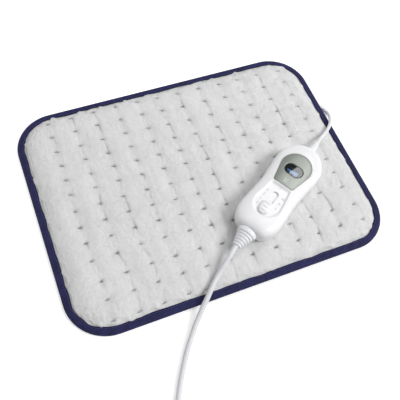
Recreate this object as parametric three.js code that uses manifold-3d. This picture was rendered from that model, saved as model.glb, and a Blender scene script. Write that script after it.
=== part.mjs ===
// Electric heating pad: a tufted plush pad bound with tape, and its wired controller lying on it.
// Millimetres, +Z up, origin on the floor under the middle of the pad, +X along its long side.
import * as THREE from 'three';
import { mergeVertices } from 'three/addons/utils/BufferGeometryUtils.js';
import Module from 'manifold-3d';

const wasm = await Module();
wasm.setup();

// Gap left between pieces that touch
const seat = 0.3;

// Pad and its edge binding
const padLength = 400;
const padWidth = 300;
const padCorner = 50;
const bindingHeight = 6.6;
const bindingReach = 9;
const bindingWall = 1.1;
const bindingBevel = 0.8;
const cornerSteps = 7;

// Tufts sewn through the plush
const tuftColumns = 12;
const tuftRows = 13;
const tuftMarginX = 31.2;
const tuftMarginY = 6.9;
const tuftShiftX = 3.5;
const tuftShiftY = -2;
const tuftThickness = 1.1;
const crownRise = 3.2;
const furrowShare = 0.45;
const ridgeShare = 0.8;

// Heater inside the pad
const cavityInset = 12;
const carrierThickness = 0.6;
const carrierEase = 1.5;
const wireDiameter = 2.4;
const wireMargin = 4.7;
const wireSpread = 6;
const wireTurn = 20.5;
const junctionFromFront = 211.2;
const junctionLength = 12;
const junctionWidth = 8;
const junctionHeight = 3.2;
const cutoutWidth = 8;
const cutoutLength = 20;
const cutoutHeight = 2.8;

// Controller housing, outline in plan
const mainsEnd = 70;
const padEnd = 70;
const mainsHalf = 28.3;
const waistHalf = 26.5;
const displayHalf = 29.5;
const mainsBulgeX = -46;
const waistX = -8;
const displayBulgeX = 38;
const endFlat = 12;

// Controller housing, heights and walls
const partingHeight = 12;
const housingHeight = 26;
const wall = 2.2;
const topWall = 2.4;
const crownHeight = 0.6;
const crownInset = 7;
const upperShoulder = 14.5;
const lowerShoulder = 8;
const upperEndRound = 7.5;
const upperSideRound = 13;
const lowerEndRound = 5;
const lowerSideRound = 8;

// Place of the controller, from the pad's right side and front
const controllerFromRight = -118.3;
const controllerFromFront = 94.4;
const controllerTurn = THREE.MathUtils.degToRad(31.85);

// Display panel, window and what is behind it
const panelCentre = 30.8;
const panelRadius = 19.8;
const panelEnd = -0.2;
const panelEndHalf = 14.1;
const panelCorner = 2.5;
const panelThickness = 1.4;
const windowCentre = 24.9;
const windowLength = 24.2;
const windowWidth = 15.4;
const windowLedge = 1.2;
const glassThickness = 1.7;
const backlightThickness = 3;
const displayMargin = 0.4;
const frameWall = 1.6;

// Thumb dish, slot and slide knob
const dishCentre = -32.8;
const dishRadius = 18;
const dishEnd = -1.7;
const dishEndHalf = 13.5;
const dishDepth = 2.5;
const dishSlope = 2.6;
const dishFloor = 1.6;
const backingMargin = 2;
const knobRest = -38;
const knobTravel = 21.8;
const knobLength = 19.4;
const knobWidth = 14;
const knobHeight = 3;
const gripCount = 3;
const gripPitch = 4.9;
const gripWidth = 1.4;
const gripLength = 8.5;
const gripHeight = 0.8;
const stemLength = 7.8;
const stemWidth = 7.5;
const stemClearance = 0.8;
const slotWidth = 8.5;
const shutterThickness = 0.8;
const shutterLap = 0.6;
const shutterMargin = 1.8;

// Circuit board and what stands on it
const boardInset = 9;
const boardThickness = 1.6;
const boardHeight = 8.3;
const switchHeight = 6.5;
const switchWidth = 9;
const switchEnd = 5.5;
const leverLength = 4;
const leverWidth = 3.6;
const leverGrip = 2.5;
const grooveDepth = 3;
const terminalLength = 9;
const terminalWidth = 12;
const terminalHeight = 7.5;
const capacitorLength = 18;
const capacitorWidth = 8.5;
const capacitorHeight = 9;
const fuseLength = 20;
const fuseDiameter = 5.2;
const triacLength = 10;
const triacWidth = 8;
const triacHeight = 4.5;
const chipLength = 10;
const chipWidth = 7.5;
const chipHeight = 2.2;
const componentGap = 3.5;

// Housing screws and their pillars
const screwX = 50;
const screwY = 15.5;
const pillarRadius = 3.5;
const shoulderRadius = 5;
const screwHeadRadius = 2.9;
const screwHeadHeight = 2.2;
const screwRadius = 1.45;
const screwLength = 17;
const screwSink = 3;

// Ribbed relief on the mains side, an oval boot
const bootLength = 24;
const bootCollar = 6;
const bootCollarHalf = 12.2;
const bootBaseHalf = 9.6;
const bootTipHalf = 5.2;
const bootRibs = 5;
const bootGroove = 1.3;
const bootFlatness = 0.76;
const bootNeckHalf = 7;
const bootFlangeHalf = 9.5;
const flangeThickness = 2.5;
const flangeStep = 2.1;

// Smooth relief on the pad side
const reliefLength = 17;
const reliefBaseHalf = 6.2;
const reliefTipHalf = 3.9;
const reliefNeckHalf = 4.4;
const reliefFlangeHalf = 6.2;

// Cords
const mainsDiameter = 6;
const leadDiameter = 4.6;
const coreDiameter = 2.2;
const coreSpread = 2.6;
const glandHalfWidth = 3;
const glandHalfHeight = 1.9;

// Put-away coil of the mains lead
const coilFromRight = -301.8;
const coilFromFront = -153.4;
const coilOuter = 45.5;
const coilInner = 26;
const coilTurns = 6.4125;
const coilStart = THREE.MathUtils.degToRad(151.5);
const coilGap = 0.6;
const loopSteps = 24;
const loopSides = 6;
const tieThickness = 0.9;
const tieWidth = 9;
const tieEase = 1;
const tieAngle = THREE.MathUtils.degToRad(40);

// Two-pin plug
const plugFromRight = -230.7;
const plugFromFront = -179.5;
const plugHeight = 7;
const plugTaper = 22;
const plugLength = 37;
const plugHalfWidth = 17.6;
const plugWaistHalf = 14.2;
const plugHalfHeight = 6.8;
const plugTipHalf = 3.9;
const pinLength = 19;
const pinRadius = 2;
const pinSpread = 9.5;

// Levels in the pad, from the floor up
const coverRim = (bindingHeight - 2 * bindingWall - 3 * seat) / 2;
const bottomRimZ = bindingWall + seat;
const bottomCoverTop = bottomRimZ + coverRim;
const topRimZ = bottomCoverTop + seat;
const topRimTop = topRimZ + coverRim;
const carrierZ = bottomCoverTop + seat;
const carrierTop = carrierZ + carrierThickness;
const heaterZ = carrierTop + seat;
const cavityCeiling = heaterZ + junctionHeight + seat;
const tuftZ = cavityCeiling + tuftThickness;
const padCrown = tuftZ + crownRise;
const edgeMiddle = bindingHeight / 2;
const rimEdge = bindingWall + seat;
const plushEdge = bindingReach + seat;

// Places set out from the sides of the pad
const rightSide = padLength / 2;
const frontSide = -padWidth / 2;
const plushHalfX = rightSide - plushEdge;
const plushHalfY = padWidth / 2 - plushEdge;
const plushCorner = padCorner - plushEdge;
const tuftPitchX = (2 * (plushHalfX - tuftMarginX)) / (tuftColumns - 1);
const tuftPitchY = (2 * (plushHalfY - tuftMarginY)) / (tuftRows - 1);
const wireReturnX = plushHalfX - cavityInset - wireMargin;
const wireReturnY = plushHalfY - cavityInset - wireMargin;
const wireLeadX = wireReturnX - wireSpread;
const wireReach = wireReturnY - wireTurn;
const junctionX = (wireLeadX + wireReturnX) / 2;
const junctionY = frontSide + junctionFromFront;
const coilCentre = new THREE.Vector2(rightSide + coilFromRight, frontSide + coilFromFront);
const plugTip = fromCorner([plugFromRight, plugFromFront, plugHeight]);

// A point given from the pad's right side, its front and the floor
function fromCorner([x, y, z]) {
  return new THREE.Vector3(rightSide + x, frontSide + y, z);
}

// Levels in the controller, from its underside up
const upperBottom = partingHeight + seat;
const leadAxis = partingHeight + seat / 2;
const dishZ = housingHeight - dishDepth;
const backingZ = dishZ - dishFloor;
const shutterZ = backingZ - seat - shutterThickness;
const boardTop = boardHeight + boardThickness;
const mountZ = boardTop + seat;
const switchTop = mountZ + switchHeight;
const stemBottom = switchTop + stemClearance;
const glassZ = backingZ - seat - glassThickness;
const backlightZ = glassZ - seat - backlightThickness;
const panelSeat = panelThickness + seat;
const slotLength = knobTravel + stemLength + 2 * seat;
const slotCentre = knobRest + knobTravel / 2;

const white = { color: 0xf4f4f2, roughness: 0.35 };
const paleGrey = { color: 0xd8d8d6, roughness: 0.9 };
const navy = { color: 0x2b2b58, roughness: 0.8 };
const sage = { color: 0x9aa094, roughness: 0.45 };
const black = { color: 0x0b0c10, roughness: 0.1 };
const steel = { color: 0xb9bcc0, roughness: 0.3, metalness: 1 };
const brass = { color: 0xc8b070, roughness: 0.3, metalness: 1 };
const boardGreen = { color: 0x2f6b45, roughness: 0.6 };
const darkPlastic = { color: 0x2b2d30, roughness: 0.6 };
const felt = { color: 0xe9e6dd, roughness: 1 };

const model = new THREE.Group();
const pad = new THREE.Group();
const controller = new THREE.Group();
controller.position.copy(fromCorner([controllerFromRight, controllerFromFront, padCrown + seat]));
controller.rotation.z = controllerTurn;
model.add(pad, controller);

function addPiece(group, name, geometry, finish) {
  const mesh = new THREE.Mesh(geometry, new THREE.MeshStandardMaterial(finish));
  mesh.name = name;
  group.add(mesh);
}

// Closed solid from a geometry, for joining and cutting
function solid(geometry) {
  const bare = geometry.clone();
  bare.deleteAttribute('normal');
  bare.deleteAttribute('uv');
  const merged = mergeVertices(bare, 1e-5);
  return new wasm.Manifold(new wasm.Mesh({
    numProp: 3,
    vertProperties: new Float32Array(merged.attributes.position.array),
    triVerts: new Uint32Array(merged.index.array),
  }));
}

function shape(manifold) {
  const mesh = manifold.getMesh();
  const geometry = new THREE.BufferGeometry();
  geometry.setAttribute('position', new THREE.Float32BufferAttribute(mesh.vertProperties, 3));
  geometry.setIndex(Array.from(mesh.triVerts));
  return geometry;
}

// Turns every face outwards: the signed volume of a closed skin is positive when they point out
function faceOut(geometry) {
  const position = geometry.attributes.position;
  const index = geometry.index.array;
  const corner = [0, 1, 2].map(() => new THREE.Vector3());
  let volume = 0;
  for (let i = 0; i < index.length; i += 3) {
    corner.forEach((point, k) => point.fromBufferAttribute(position, index[i + k]));
    volume += corner[0].dot(corner[1].clone().cross(corner[2]));
  }
  if (volume < 0) {
    for (let i = 0; i < index.length; i += 3) {
      [index[i], index[i + 1]] = [index[i + 1], index[i]];
    }
  }
  return geometry;
}

function meshFrom(points, triangles) {
  const geometry = new THREE.BufferGeometry();
  const numbers = points.flatMap((point) => point.toArray());
  geometry.setAttribute('position', new THREE.Float32BufferAttribute(numbers, 3));
  geometry.setIndex(triangles);
  return faceOut(geometry);
}

// Skin over rings of equal count, with flat ends or joined end to end
function loft(rings, joined = false) {
  const count = rings[0].length;
  const triangles = [];
  const spans = joined ? rings.length : rings.length - 1;
  for (let r = 0; r < spans; r += 1) {
    const near = r * count;
    const far = ((r + 1) % rings.length) * count;
    for (let i = 0; i < count; i += 1) {
      const next = (i + 1) % count;
      triangles.push(near + i, near + next, far + next, near + i, far + next, far + i);
    }
  }
  if (!joined) {
    addCap(triangles, rings[0], 0, false);
    addCap(triangles, rings[rings.length - 1], (rings.length - 1) * count, true);
  }
  return meshFrom(rings.flat(), triangles);
}

// Adds a flat end over a ring, turning the same way round as the ring or against it
function addCap(triangles, ring, offset, withRing) {
  const turn = new THREE.Vector3();
  ring.forEach((point, i) => turn.add(point.clone().cross(ring[(i + 1) % ring.length])));
  const axes = ['x', 'y', 'z'].sort((a, b) => Math.abs(turn[a]) - Math.abs(turn[b]));
  const flat = ring.map((point) => new THREE.Vector2(point[axes[0]], point[axes[1]]));
  for (const [a, b, c] of THREE.ShapeUtils.triangulateShape(flat, [])) {
    const normal = ring[b].clone().sub(ring[a]).cross(ring[c].clone().sub(ring[a]));
    const keep = (normal.dot(turn) > 0) === withRing;
    triangles.push(offset + a, offset + (keep ? b : c), offset + (keep ? c : b));
  }
}

function boxBetween(x0, x1, y0, y1, z0, z1) {
  const geometry = new THREE.BoxGeometry(x1 - x0, y1 - y0, z1 - z0);
  return geometry.translate((x0 + x1) / 2, (y0 + y1) / 2, (z0 + z1) / 2);
}

function boxOn(x, y, z, length, width, height) {
  return boxBetween(x - length / 2, x + length / 2, y - width / 2, y + width / 2, z, z + height);
}

function rod(x, y, z0, z1, radius) {
  const geometry = new THREE.CylinderGeometry(radius, radius, z1 - z0, 12);
  return geometry.rotateX(Math.PI / 2).translate(x, y, (z0 + z1) / 2);
}

function prism(outline, z0, z1) {
  const settings = { depth: z1 - z0, bevelEnabled: false, curveSegments: 5 };
  return new THREE.ExtrudeGeometry(outline, settings).translate(0, 0, z0);
}

function ovalShape(halfWidth, halfHeight) {
  const oval = new THREE.Shape();
  oval.absellipse(0, 0, halfWidth, halfHeight, 0, 2 * Math.PI);
  return oval;
}

// Tube along a curve, with a section of few straight sides
function tubeAlong(points, section, steps, sides) {
  const extrudePath = new THREE.CatmullRomCurve3(points);
  const settings = { steps, extrudePath, bevelEnabled: false, curveSegments: sides / 2 };
  return new THREE.ExtrudeGeometry(section, settings);
}

function stadium(x, y, length, width, alongY = false) {
  const outline = new THREE.Shape();
  const radius = width / 2;
  const reach = length / 2 - radius;
  if (alongY) {
    outline.absarc(x, y + reach, radius, 0, Math.PI);
    outline.absarc(x, y - reach, radius, Math.PI, 2 * Math.PI);
  } else {
    outline.absarc(x + reach, y, radius, -Math.PI / 2, Math.PI / 2);
    outline.absarc(x - reach, y, radius, Math.PI / 2, 1.5 * Math.PI);
  }
  return outline;
}

// Moves a point of the square-cornered field into the round corner, and gives the way out of the pad there
function padPoint(x, y) {
  const centreX = plushHalfX - plushCorner;
  const centreY = plushHalfY - plushCorner;
  const dx = Math.abs(x) - centreX;
  const dy = Math.abs(y) - centreY;
  const way = new THREE.Vector2(Math.sign(x), Math.sign(y));
  if (dx > 0 && dy > 0) {
    const reach = Math.max(dx, dy);
    const angle = (Math.PI / 4) * (1 + (dy - dx) / reach);
    const out = new THREE.Vector2(Math.cos(angle) * way.x, Math.sin(angle) * way.y);
    return { at: new THREE.Vector2(centreX * way.x + reach * out.x, centreY * way.y + reach * out.y), out };
  }
  const sideways = Math.abs(x) / plushHalfX > Math.abs(y) / plushHalfY;
  const out = sideways ? new THREE.Vector2(way.x, 0) : new THREE.Vector2(0, way.y);
  return { at: new THREE.Vector2(x, y), out };
}

function padRing(inset, z) {
  const outline = [];
  const radius = padCorner - inset;
  for (let quarter = 0; quarter < 4; quarter += 1) {
    const centreX = (padLength / 2 - padCorner) * (quarter === 0 || quarter === 3 ? 1 : -1);
    const centreY = (padWidth / 2 - padCorner) * (quarter < 2 ? 1 : -1);
    for (let step = 0; step <= cornerSteps; step += 1) {
      const angle = (Math.PI / 2) * (quarter + step / cornerSteps);
      const x = centreX + radius * Math.cos(angle);
      const y = centreY + radius * Math.sin(angle);
      outline.push(new THREE.Vector3(x, y, z));
    }
  }
  return outline;
}

// Lines of the tuft field along one side: tufts, the middles between them and the two edges
function fieldLines(count, pitch, shift, half, edgeMiddles) {
  const lines = [{ at: -half, tuft: false }];
  const tufts = Array.from({ length: count }, (_, i) => shift + (i - (count - 1) / 2) * pitch);
  if (edgeMiddles) {
    lines.push({ at: (tufts[0] - half) / 2, tuft: false });
  }
  tufts.forEach((at, i) => {
    lines.push({ at, tuft: true });
    if (i < count - 1) {
      lines.push({ at: at + pitch / 2, tuft: false });
    }
  });
  if (edgeMiddles) {
    lines.push({ at: (tufts[count - 1] + half) / 2, tuft: false });
  }
  lines.push({ at: half, tuft: false });
  return lines;
}

function plushHeight(column, row) {
  if (column.tuft && row.tuft) {
    return tuftZ;
  }
  if (column.tuft) {
    return tuftZ + furrowShare * crownRise;
  }
  return row.tuft ? tuftZ + ridgeShare * crownRise : padCrown;
}

// Plush top: a field of tufts and crowns, its rim held in the binding, hollow below for the heater
function makeTopCover() {
  const columns = fieldLines(tuftColumns, tuftPitchX, tuftShiftX, plushHalfX, true);
  const rows = fieldLines(tuftRows, tuftPitchY, tuftShiftY, plushHalfY, false);
  const points = [];
  const triangles = [];
  const edge = [];
  const lastColumn = columns.length - 1;
  const lastRow = rows.length - 1;
  const at = (i, j) => j * columns.length + i;
  rows.forEach((row, j) => columns.forEach((column, i) => {
    const onEdge = i === 0 || j === 0 || i === lastColumn || j === lastRow;
    const place = padPoint(column.at, row.at).at;
    points.push(new THREE.Vector3(place.x, place.y, onEdge ? topRimTop : plushHeight(column, row)));
    if (i < lastColumn && j < lastRow) {
      triangles.push(at(i, j), at(i + 1, j), at(i + 1, j + 1), at(i, j), at(i + 1, j + 1), at(i, j + 1));
    }
  }));
  columns.slice(0, -1).forEach((_, i) => edge.push([i, 0]));
  rows.slice(0, -1).forEach((_, j) => edge.push([lastColumn, j]));
  columns.slice(1).reverse().forEach((_, i) => edge.push([lastColumn - i, lastRow]));
  rows.slice(1).reverse().forEach((_, j) => edge.push([0, lastRow - j]));
  let ring = edge.map(([i, j]) => at(i, j));
  const levels = [
    [plushEdge - rimEdge, topRimTop],
    [plushEdge - rimEdge, topRimZ],
    [-cavityInset, topRimZ],
    [-cavityInset, cavityCeiling],
  ];
  for (const [offset, z] of levels) {
    const next = edge.map(([i, j]) => {
      const place = padPoint(columns[i].at, rows[j].at);
      const moved = place.at.addScaledVector(place.out, offset);
      points.push(new THREE.Vector3(moved.x, moved.y, z));
      return points.length - 1;
    });
    ring.forEach((from, k) => {
      const after = (k + 1) % ring.length;
      triangles.push(ring[after], from, next[k], ring[after], next[k], next[after]);
    });
    ring = next;
  }
  const ceiling = ring.map((i) => new THREE.Vector2(points[i].x, points[i].y));
  for (const [a, b, c] of THREE.ShapeUtils.triangulateShape(ceiling, [])) {
    triangles.push(ring[a], ring[c], ring[b]);
  }
  return meshFrom(points, triangles);
}

function makeBottomCover() {
  return loft([
    padRing(plushEdge, 0),
    padRing(plushEdge, bottomRimZ),
    padRing(rimEdge, bottomRimZ),
    padRing(rimEdge, bottomCoverTop),
  ]);
}

// Tape folded round the edge, a channel open to the inside
function makeBinding() {
  const inner = bindingHeight - bindingWall;
  const profile = [
    [0, bindingBevel],
    [0, bindingHeight - bindingBevel],
    [bindingBevel, bindingHeight],
    [bindingReach, bindingHeight],
    [bindingReach, inner],
    [bindingWall, inner],
    [bindingWall, bindingWall],
    [bindingReach, bindingWall],
    [bindingReach, 0],
    [bindingBevel, 0],
  ];
  return loft(profile.map(([inset, z]) => padRing(inset, z)), true);
}

// Heating wire: runs along Y between the tuft columns, out and back to the junction block
function wireCentreline() {
  const z = heaterZ + wireDiameter / 2;
  const points = [];
  const add = (x, y) => points.push(new THREE.Vector3(x, y, z));
  const steps = 6;
  const bend = (x, y, radius, from, to) => {
    for (let step = 0; step <= steps; step += 1) {
      const angle = from + ((to - from) * step) / steps;
      add(x + radius * Math.cos(angle), y + radius * Math.sin(angle));
    }
  };
  const runX = (k) => tuftShiftX + (tuftColumns / 2 - 1 - k) * tuftPitchX;
  const runs = Array.from({ length: tuftColumns - 1 }, (_, k) => runX(k));
  add(wireLeadX, junctionY - junctionWidth / 2 - seat);
  let from = wireLeadX;
  runs.forEach((x, k) => {
    const radius = (from - x) / 2;
    if (k % 2 === 0) {
      bend(x + radius, -wireReach, radius, 0, -Math.PI);
    } else {
      bend(x + radius, wireReach, radius, 0, Math.PI);
    }
    from = x;
  });
  bend(from + wireTurn, wireReach, wireTurn, Math.PI, Math.PI / 2);
  const cornerRadius = plushCorner - cavityInset - wireDiameter;
  const cornerX = wireReturnX - cornerRadius;
  bend(cornerX, wireReturnY - cornerRadius, cornerRadius, Math.PI / 2, 0);
  add(wireReturnX, junctionY + junctionWidth / 2 + seat);
  return points;
}

// Tube through the points of a level line, six-sided
function levelTube(points, radius, sides) {
  const rings = points.map((point, i) => {
    const before = points[Math.max(i - 1, 0)];
    const after = points[Math.min(i + 1, points.length - 1)];
    const along = after.clone().sub(before).setZ(0).normalize();
    const across = new THREE.Vector3(-along.y, along.x, 0);
    return Array.from({ length: sides }, (_, k) => {
      const angle = (2 * Math.PI * (k + 0.5)) / sides;
      const ring = point.clone().addScaledVector(across, radius * Math.cos(angle));
      return ring.setZ(point.z + radius * Math.sin(angle));
    });
  });
  return loft(rings);
}

// Pad lead gland: a flat sleeve that slants through the edge seam and ends at the junction block
const glandRoute = [
  [3.6, 196.5, edgeMiddle],
  [1.6, 201.5, edgeMiddle],
  [-2, 205.8, edgeMiddle],
  [-7.5, 209, edgeMiddle],
  [-14, 210.8, edgeMiddle],
].map(fromCorner);
glandRoute.push(new THREE.Vector3(junctionX + junctionLength / 2 + seat, junctionY, edgeMiddle));

function glandTube(points, grow) {
  return tubeAlong(points, ovalShape(glandHalfHeight + grow, glandHalfWidth + grow), 12, 10);
}

const beyondMouth = glandRoute[0].clone().multiplyScalar(2).sub(glandRoute[1]);
const glandCut = solid(glandTube([beyondMouth, ...glandRoute], seat));
const topCover = solid(makeTopCover()).subtract(glandCut);
const bottomCover = solid(makeBottomCover()).subtract(glandCut);
const binding = solid(makeBinding()).subtract(glandCut);
const carrier = loft([
  padRing(plushEdge + cavityInset + carrierEase, carrierZ),
  padRing(plushEdge + cavityInset + carrierEase, carrierTop),
]);
const cutoutX = tuftShiftX + wireDiameter / 2 + seat + cutoutWidth / 2;

addPiece(pad, 'top_cover', shape(topCover), paleGrey);
addPiece(pad, 'bottom_cover', shape(bottomCover), paleGrey);
addPiece(pad, 'edge_binding', shape(binding), navy);
addPiece(pad, 'heater_carrier', carrier, felt);
addPiece(pad, 'heating_wire', levelTube(wireCentreline(), wireDiameter / 2, loopSides), brass);
addPiece(pad, 'junction_block',
  boxOn(junctionX, junctionY, heaterZ, junctionLength, junctionWidth, junctionHeight), white);
addPiece(pad, 'thermal_cutout', boxOn(cutoutX, 0, heaterZ, cutoutWidth, cutoutLength, cutoutHeight), steel);
addPiece(pad, 'pad_lead_gland', glandTube(glandRoute, 0), white);

// Controller outline in plan, drawn from the mains end round to itself
function housingOutline() {
  const outline = new THREE.Shape();
  const corner = (mainsEnd + mainsBulgeX) * 0.45;
  const mainsPull = (waistX - mainsBulgeX) * 0.4;
  const displayPull = (displayBulgeX - waistX) * 0.4;
  const nosePull = (padEnd - displayBulgeX) * 0.56;
  outline.moveTo(-mainsEnd, endFlat);
  outline.bezierCurveTo(-mainsEnd, endFlat + corner, mainsBulgeX - corner, mainsHalf,
    mainsBulgeX, mainsHalf);
  outline.bezierCurveTo(mainsBulgeX + mainsPull, mainsHalf, waistX - mainsPull, waistHalf,
    waistX, waistHalf);
  outline.bezierCurveTo(waistX + displayPull, waistHalf, displayBulgeX - displayPull, displayHalf,
    displayBulgeX, displayHalf);
  outline.bezierCurveTo(displayBulgeX + nosePull, displayHalf, padEnd, displayHalf * 0.55, padEnd, 0);
  const half = outline.getPoints(5);
  const mirrored = half.slice(0, -1).reverse().map((point) => new THREE.Vector2(point.x, -point.y));
  return [...half, ...mirrored];
}

const plan = housingOutline();

// The outline drawn in by an amount at the ends and another at the sides
function planRing(endInset, sideInset, z) {
  return plan.map(({ x, y }) => {
    const reach = x < 0 ? mainsEnd : padEnd;
    return new THREE.Vector3(x * (1 - endInset / reach), y * (1 - sideInset / displayHalf), z);
  });
}

// Domed upper body, a wall's thickness smaller where it is the hollow
function upperBody(inset, lowered, bottom) {
  const steps = 5;
  const rings = [planRing(inset, inset, bottom)];
  const top = housingHeight - crownHeight - lowered;
  for (let step = 0; step <= steps; step += 1) {
    const angle = (Math.PI / 2) * (step / steps);
    const draw = 1 - Math.cos(angle);
    const z = upperShoulder + (top - upperShoulder) * Math.sin(angle);
    rings.push(planRing(inset + upperEndRound * draw, inset + upperSideRound * draw, z));
  }
  const last = crownInset + inset;
  rings.push(planRing(last + upperEndRound, last + upperSideRound, housingHeight - lowered));
  return solid(loft(rings));
}

function lowerBody(inset, floor, top) {
  const steps = 4;
  const rings = [planRing(inset, inset, top)];
  for (let step = 0; step <= steps; step += 1) {
    const angle = (Math.PI / 2) * (step / steps);
    const draw = 1 - Math.cos(angle);
    const z = lowerShoulder - (lowerShoulder - floor) * Math.sin(angle);
    rings.push(planRing(inset + lowerEndRound * draw, inset + lowerSideRound * draw, z));
  }
  return solid(loft(rings));
}

// Flat at one end, round at the other: the outline of the display panel and of the thumb dish
function teardrop(centre, radius, end, endHalf, corner) {
  const side = Math.sign(centre - end);
  const reach = Math.abs(centre - end);
  const outline = new THREE.Shape();
  outline.moveTo(end, corner - endHalf);
  outline.lineTo(end, endHalf - corner);
  outline.quadraticCurveTo(end, endHalf, end + side * corner, endHalf + corner * 0.15);
  outline.bezierCurveTo(end + side * reach * 0.35, endHalf + (radius - endHalf) * 0.4,
    centre - side * reach * 0.35, radius, centre, radius);
  outline.absarc(centre, 0, radius, Math.PI / 2, side > 0 ? -Math.PI / 2 : 1.5 * Math.PI, side > 0);
  outline.bezierCurveTo(centre - side * reach * 0.35, -radius,
    end + side * reach * 0.35, -endHalf - (radius - endHalf) * 0.4,
    end + side * corner, -endHalf - corner * 0.15);
  outline.quadraticCurveTo(end, -endHalf, end, corner - endHalf);
  return outline;
}

function panelOutline(grow) {
  return teardrop(panelCentre, panelRadius + grow, panelEnd - grow, panelEndHalf + grow, panelCorner);
}

function dishOutline(grow) {
  return teardrop(dishCentre, dishRadius + grow, dishEnd + grow, dishEndHalf + grow, panelCorner);
}

function windowOutline(grow) {
  return stadium(windowCentre, 0, windowLength + 2 * grow, windowWidth + 2 * grow, true);
}

// Sloping cut of the thumb dish
function dishCut() {
  const above = housingHeight + seat;
  const ring = (grow, z) => {
    const outline = dishOutline(grow).getPoints(6).slice(0, -1);
    return outline.map((point) => new THREE.Vector3(point.x, point.y, z));
  };
  const slope = (dishSlope * (above - dishZ)) / dishDepth;
  return solid(loft([ring(-dishSlope, dishZ), ring(slope - dishSlope, above)]));
}

// Oval bar along the controller, to open the end walls for a lead relief
function ovalBar(x0, x1, halfWidth, halfHeight) {
  const bar = new THREE.CylinderGeometry(1, 1, x1 - x0, 16);
  bar.rotateZ(Math.PI / 2).scale(1, halfWidth, halfHeight);
  return solid(bar.translate((x0 + x1) / 2, 0, leadAxis));
}

const above = housingHeight + 2 * seat;
const dome = upperBody(0, 0, upperBottom);
const panelPrism = solid(prism(panelOutline(0), backingZ, above));
const windowPrism = solid(prism(windowOutline(0), backingZ, above));
const panelHole = solid(prism(windowOutline(seat), backingZ, above));
const panelSkin = dome.subtract(upperBody(0, panelThickness, upperBottom));
const bootHole = bootNeckHalf * bootFlatness + seat;
const mainsOpening = ovalBar(-mainsEnd - 1, -mainsEnd + wall * 3, bootNeckHalf + seat, bootHole);
const leadOpening = ovalBar(padEnd - wall * 3, padEnd + 1, reliefNeckHalf + seat, reliefNeckHalf + seat);
const screwPlaces = [[-screwX, -screwY], [-screwX, screwY], [screwX, -screwY], [screwX, screwY]];
const screwSeat = screwSink + seat;
const screwTop = screwSink + screwLength;

function makeUpperHousing() {
  const backing = solid(prism(panelOutline(backingMargin), backingZ, above))
    .add(solid(prism(dishOutline(backingMargin), backingZ, above)))
    .intersect(dome);
  let body = dome.subtract(upperBody(wall, topWall, partingHeight)).add(backing);
  for (const [x, y] of screwPlaces) {
    body = body.add(solid(rod(x, y, upperBottom, backingZ + topWall, pillarRadius)).intersect(dome));
  }
  const pocket = solid(prism(panelOutline(seat), backingZ, above))
    .subtract(upperBody(0, panelSeat, upperBottom));
  body = body.subtract(pocket)
    .subtract(solid(prism(windowOutline(-windowLedge), backingZ - 1, above)))
    .subtract(dishCut())
    .subtract(solid(prism(stadium(slotCentre, 0, slotLength, slotWidth), backingZ - 1, above)))
    .subtract(mainsOpening)
    .subtract(leadOpening);
  for (const [x, y] of screwPlaces) {
    body = body.subtract(solid(rod(x, y, partingHeight, screwTop + seat, screwRadius + seat)));
  }
  return shape(body);
}

function makeLowerHousing() {
  let body = lowerBody(0, 0, partingHeight).subtract(lowerBody(wall, wall, partingHeight + 1));
  for (const [x, y] of screwPlaces) {
    body = body.add(solid(rod(x, y, wall / 2, partingHeight, pillarRadius)))
      .add(solid(rod(x, y, wall / 2, boardHeight - seat, shoulderRadius)));
  }
  for (const [x, y] of screwPlaces) {
    body = body.subtract(solid(rod(x, y, -1, screwSeat, screwHeadRadius + seat)))
      .subtract(solid(rod(x, y, 0, partingHeight + 1, screwRadius + seat)));
  }
  return shape(body.subtract(mainsOpening).subtract(leadOpening));
}

addPiece(controller, 'lower_housing', makeLowerHousing(), white);
addPiece(controller, 'upper_housing', makeUpperHousing(), white);
addPiece(controller, 'display_panel', shape(panelSkin.intersect(panelPrism).subtract(panelHole)), sage);
addPiece(controller, 'display_window', shape(panelSkin.intersect(windowPrism)), black);

// Display stack under the window, from the glass down to the board
const glassLength = windowLength - 2 * displayMargin;
const glassWidth = windowWidth - 2 * displayMargin;
const displayBox = (inset, z0, z1) => {
  const width = glassWidth - 2 * inset;
  return boxOn(windowCentre, 0, z0, width, glassLength - 2 * inset, z1 - z0);
};
const displayFrame = solid(displayBox(0, mountZ, backlightZ - seat))
  .subtract(solid(displayBox(frameWall, mountZ - 1, backlightZ)));

addPiece(controller, 'display_glass', displayBox(0, glassZ, glassZ + glassThickness), black);
addPiece(controller, 'backlight_plate', displayBox(0, backlightZ, backlightZ + backlightThickness), white);
addPiece(controller, 'display_frame', shape(displayFrame), darkPlastic);

// Circuit board, cleared round the four pillars
function makeBoard() {
  const ring = planRing(boardInset, boardInset, boardHeight);
  const outline = new THREE.Shape(ring.map(({ x, y }) => new THREE.Vector2(x, y)));
  let board = solid(prism(outline, boardHeight, boardTop));
  for (const [x, y] of screwPlaces) {
    board = board.subtract(solid(rod(x, y, boardHeight - 1, boardTop + 1, pillarRadius + seat)));
  }
  return shape(board);
}

addPiece(controller, 'circuit_board', makeBoard(), boardGreen);

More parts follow.
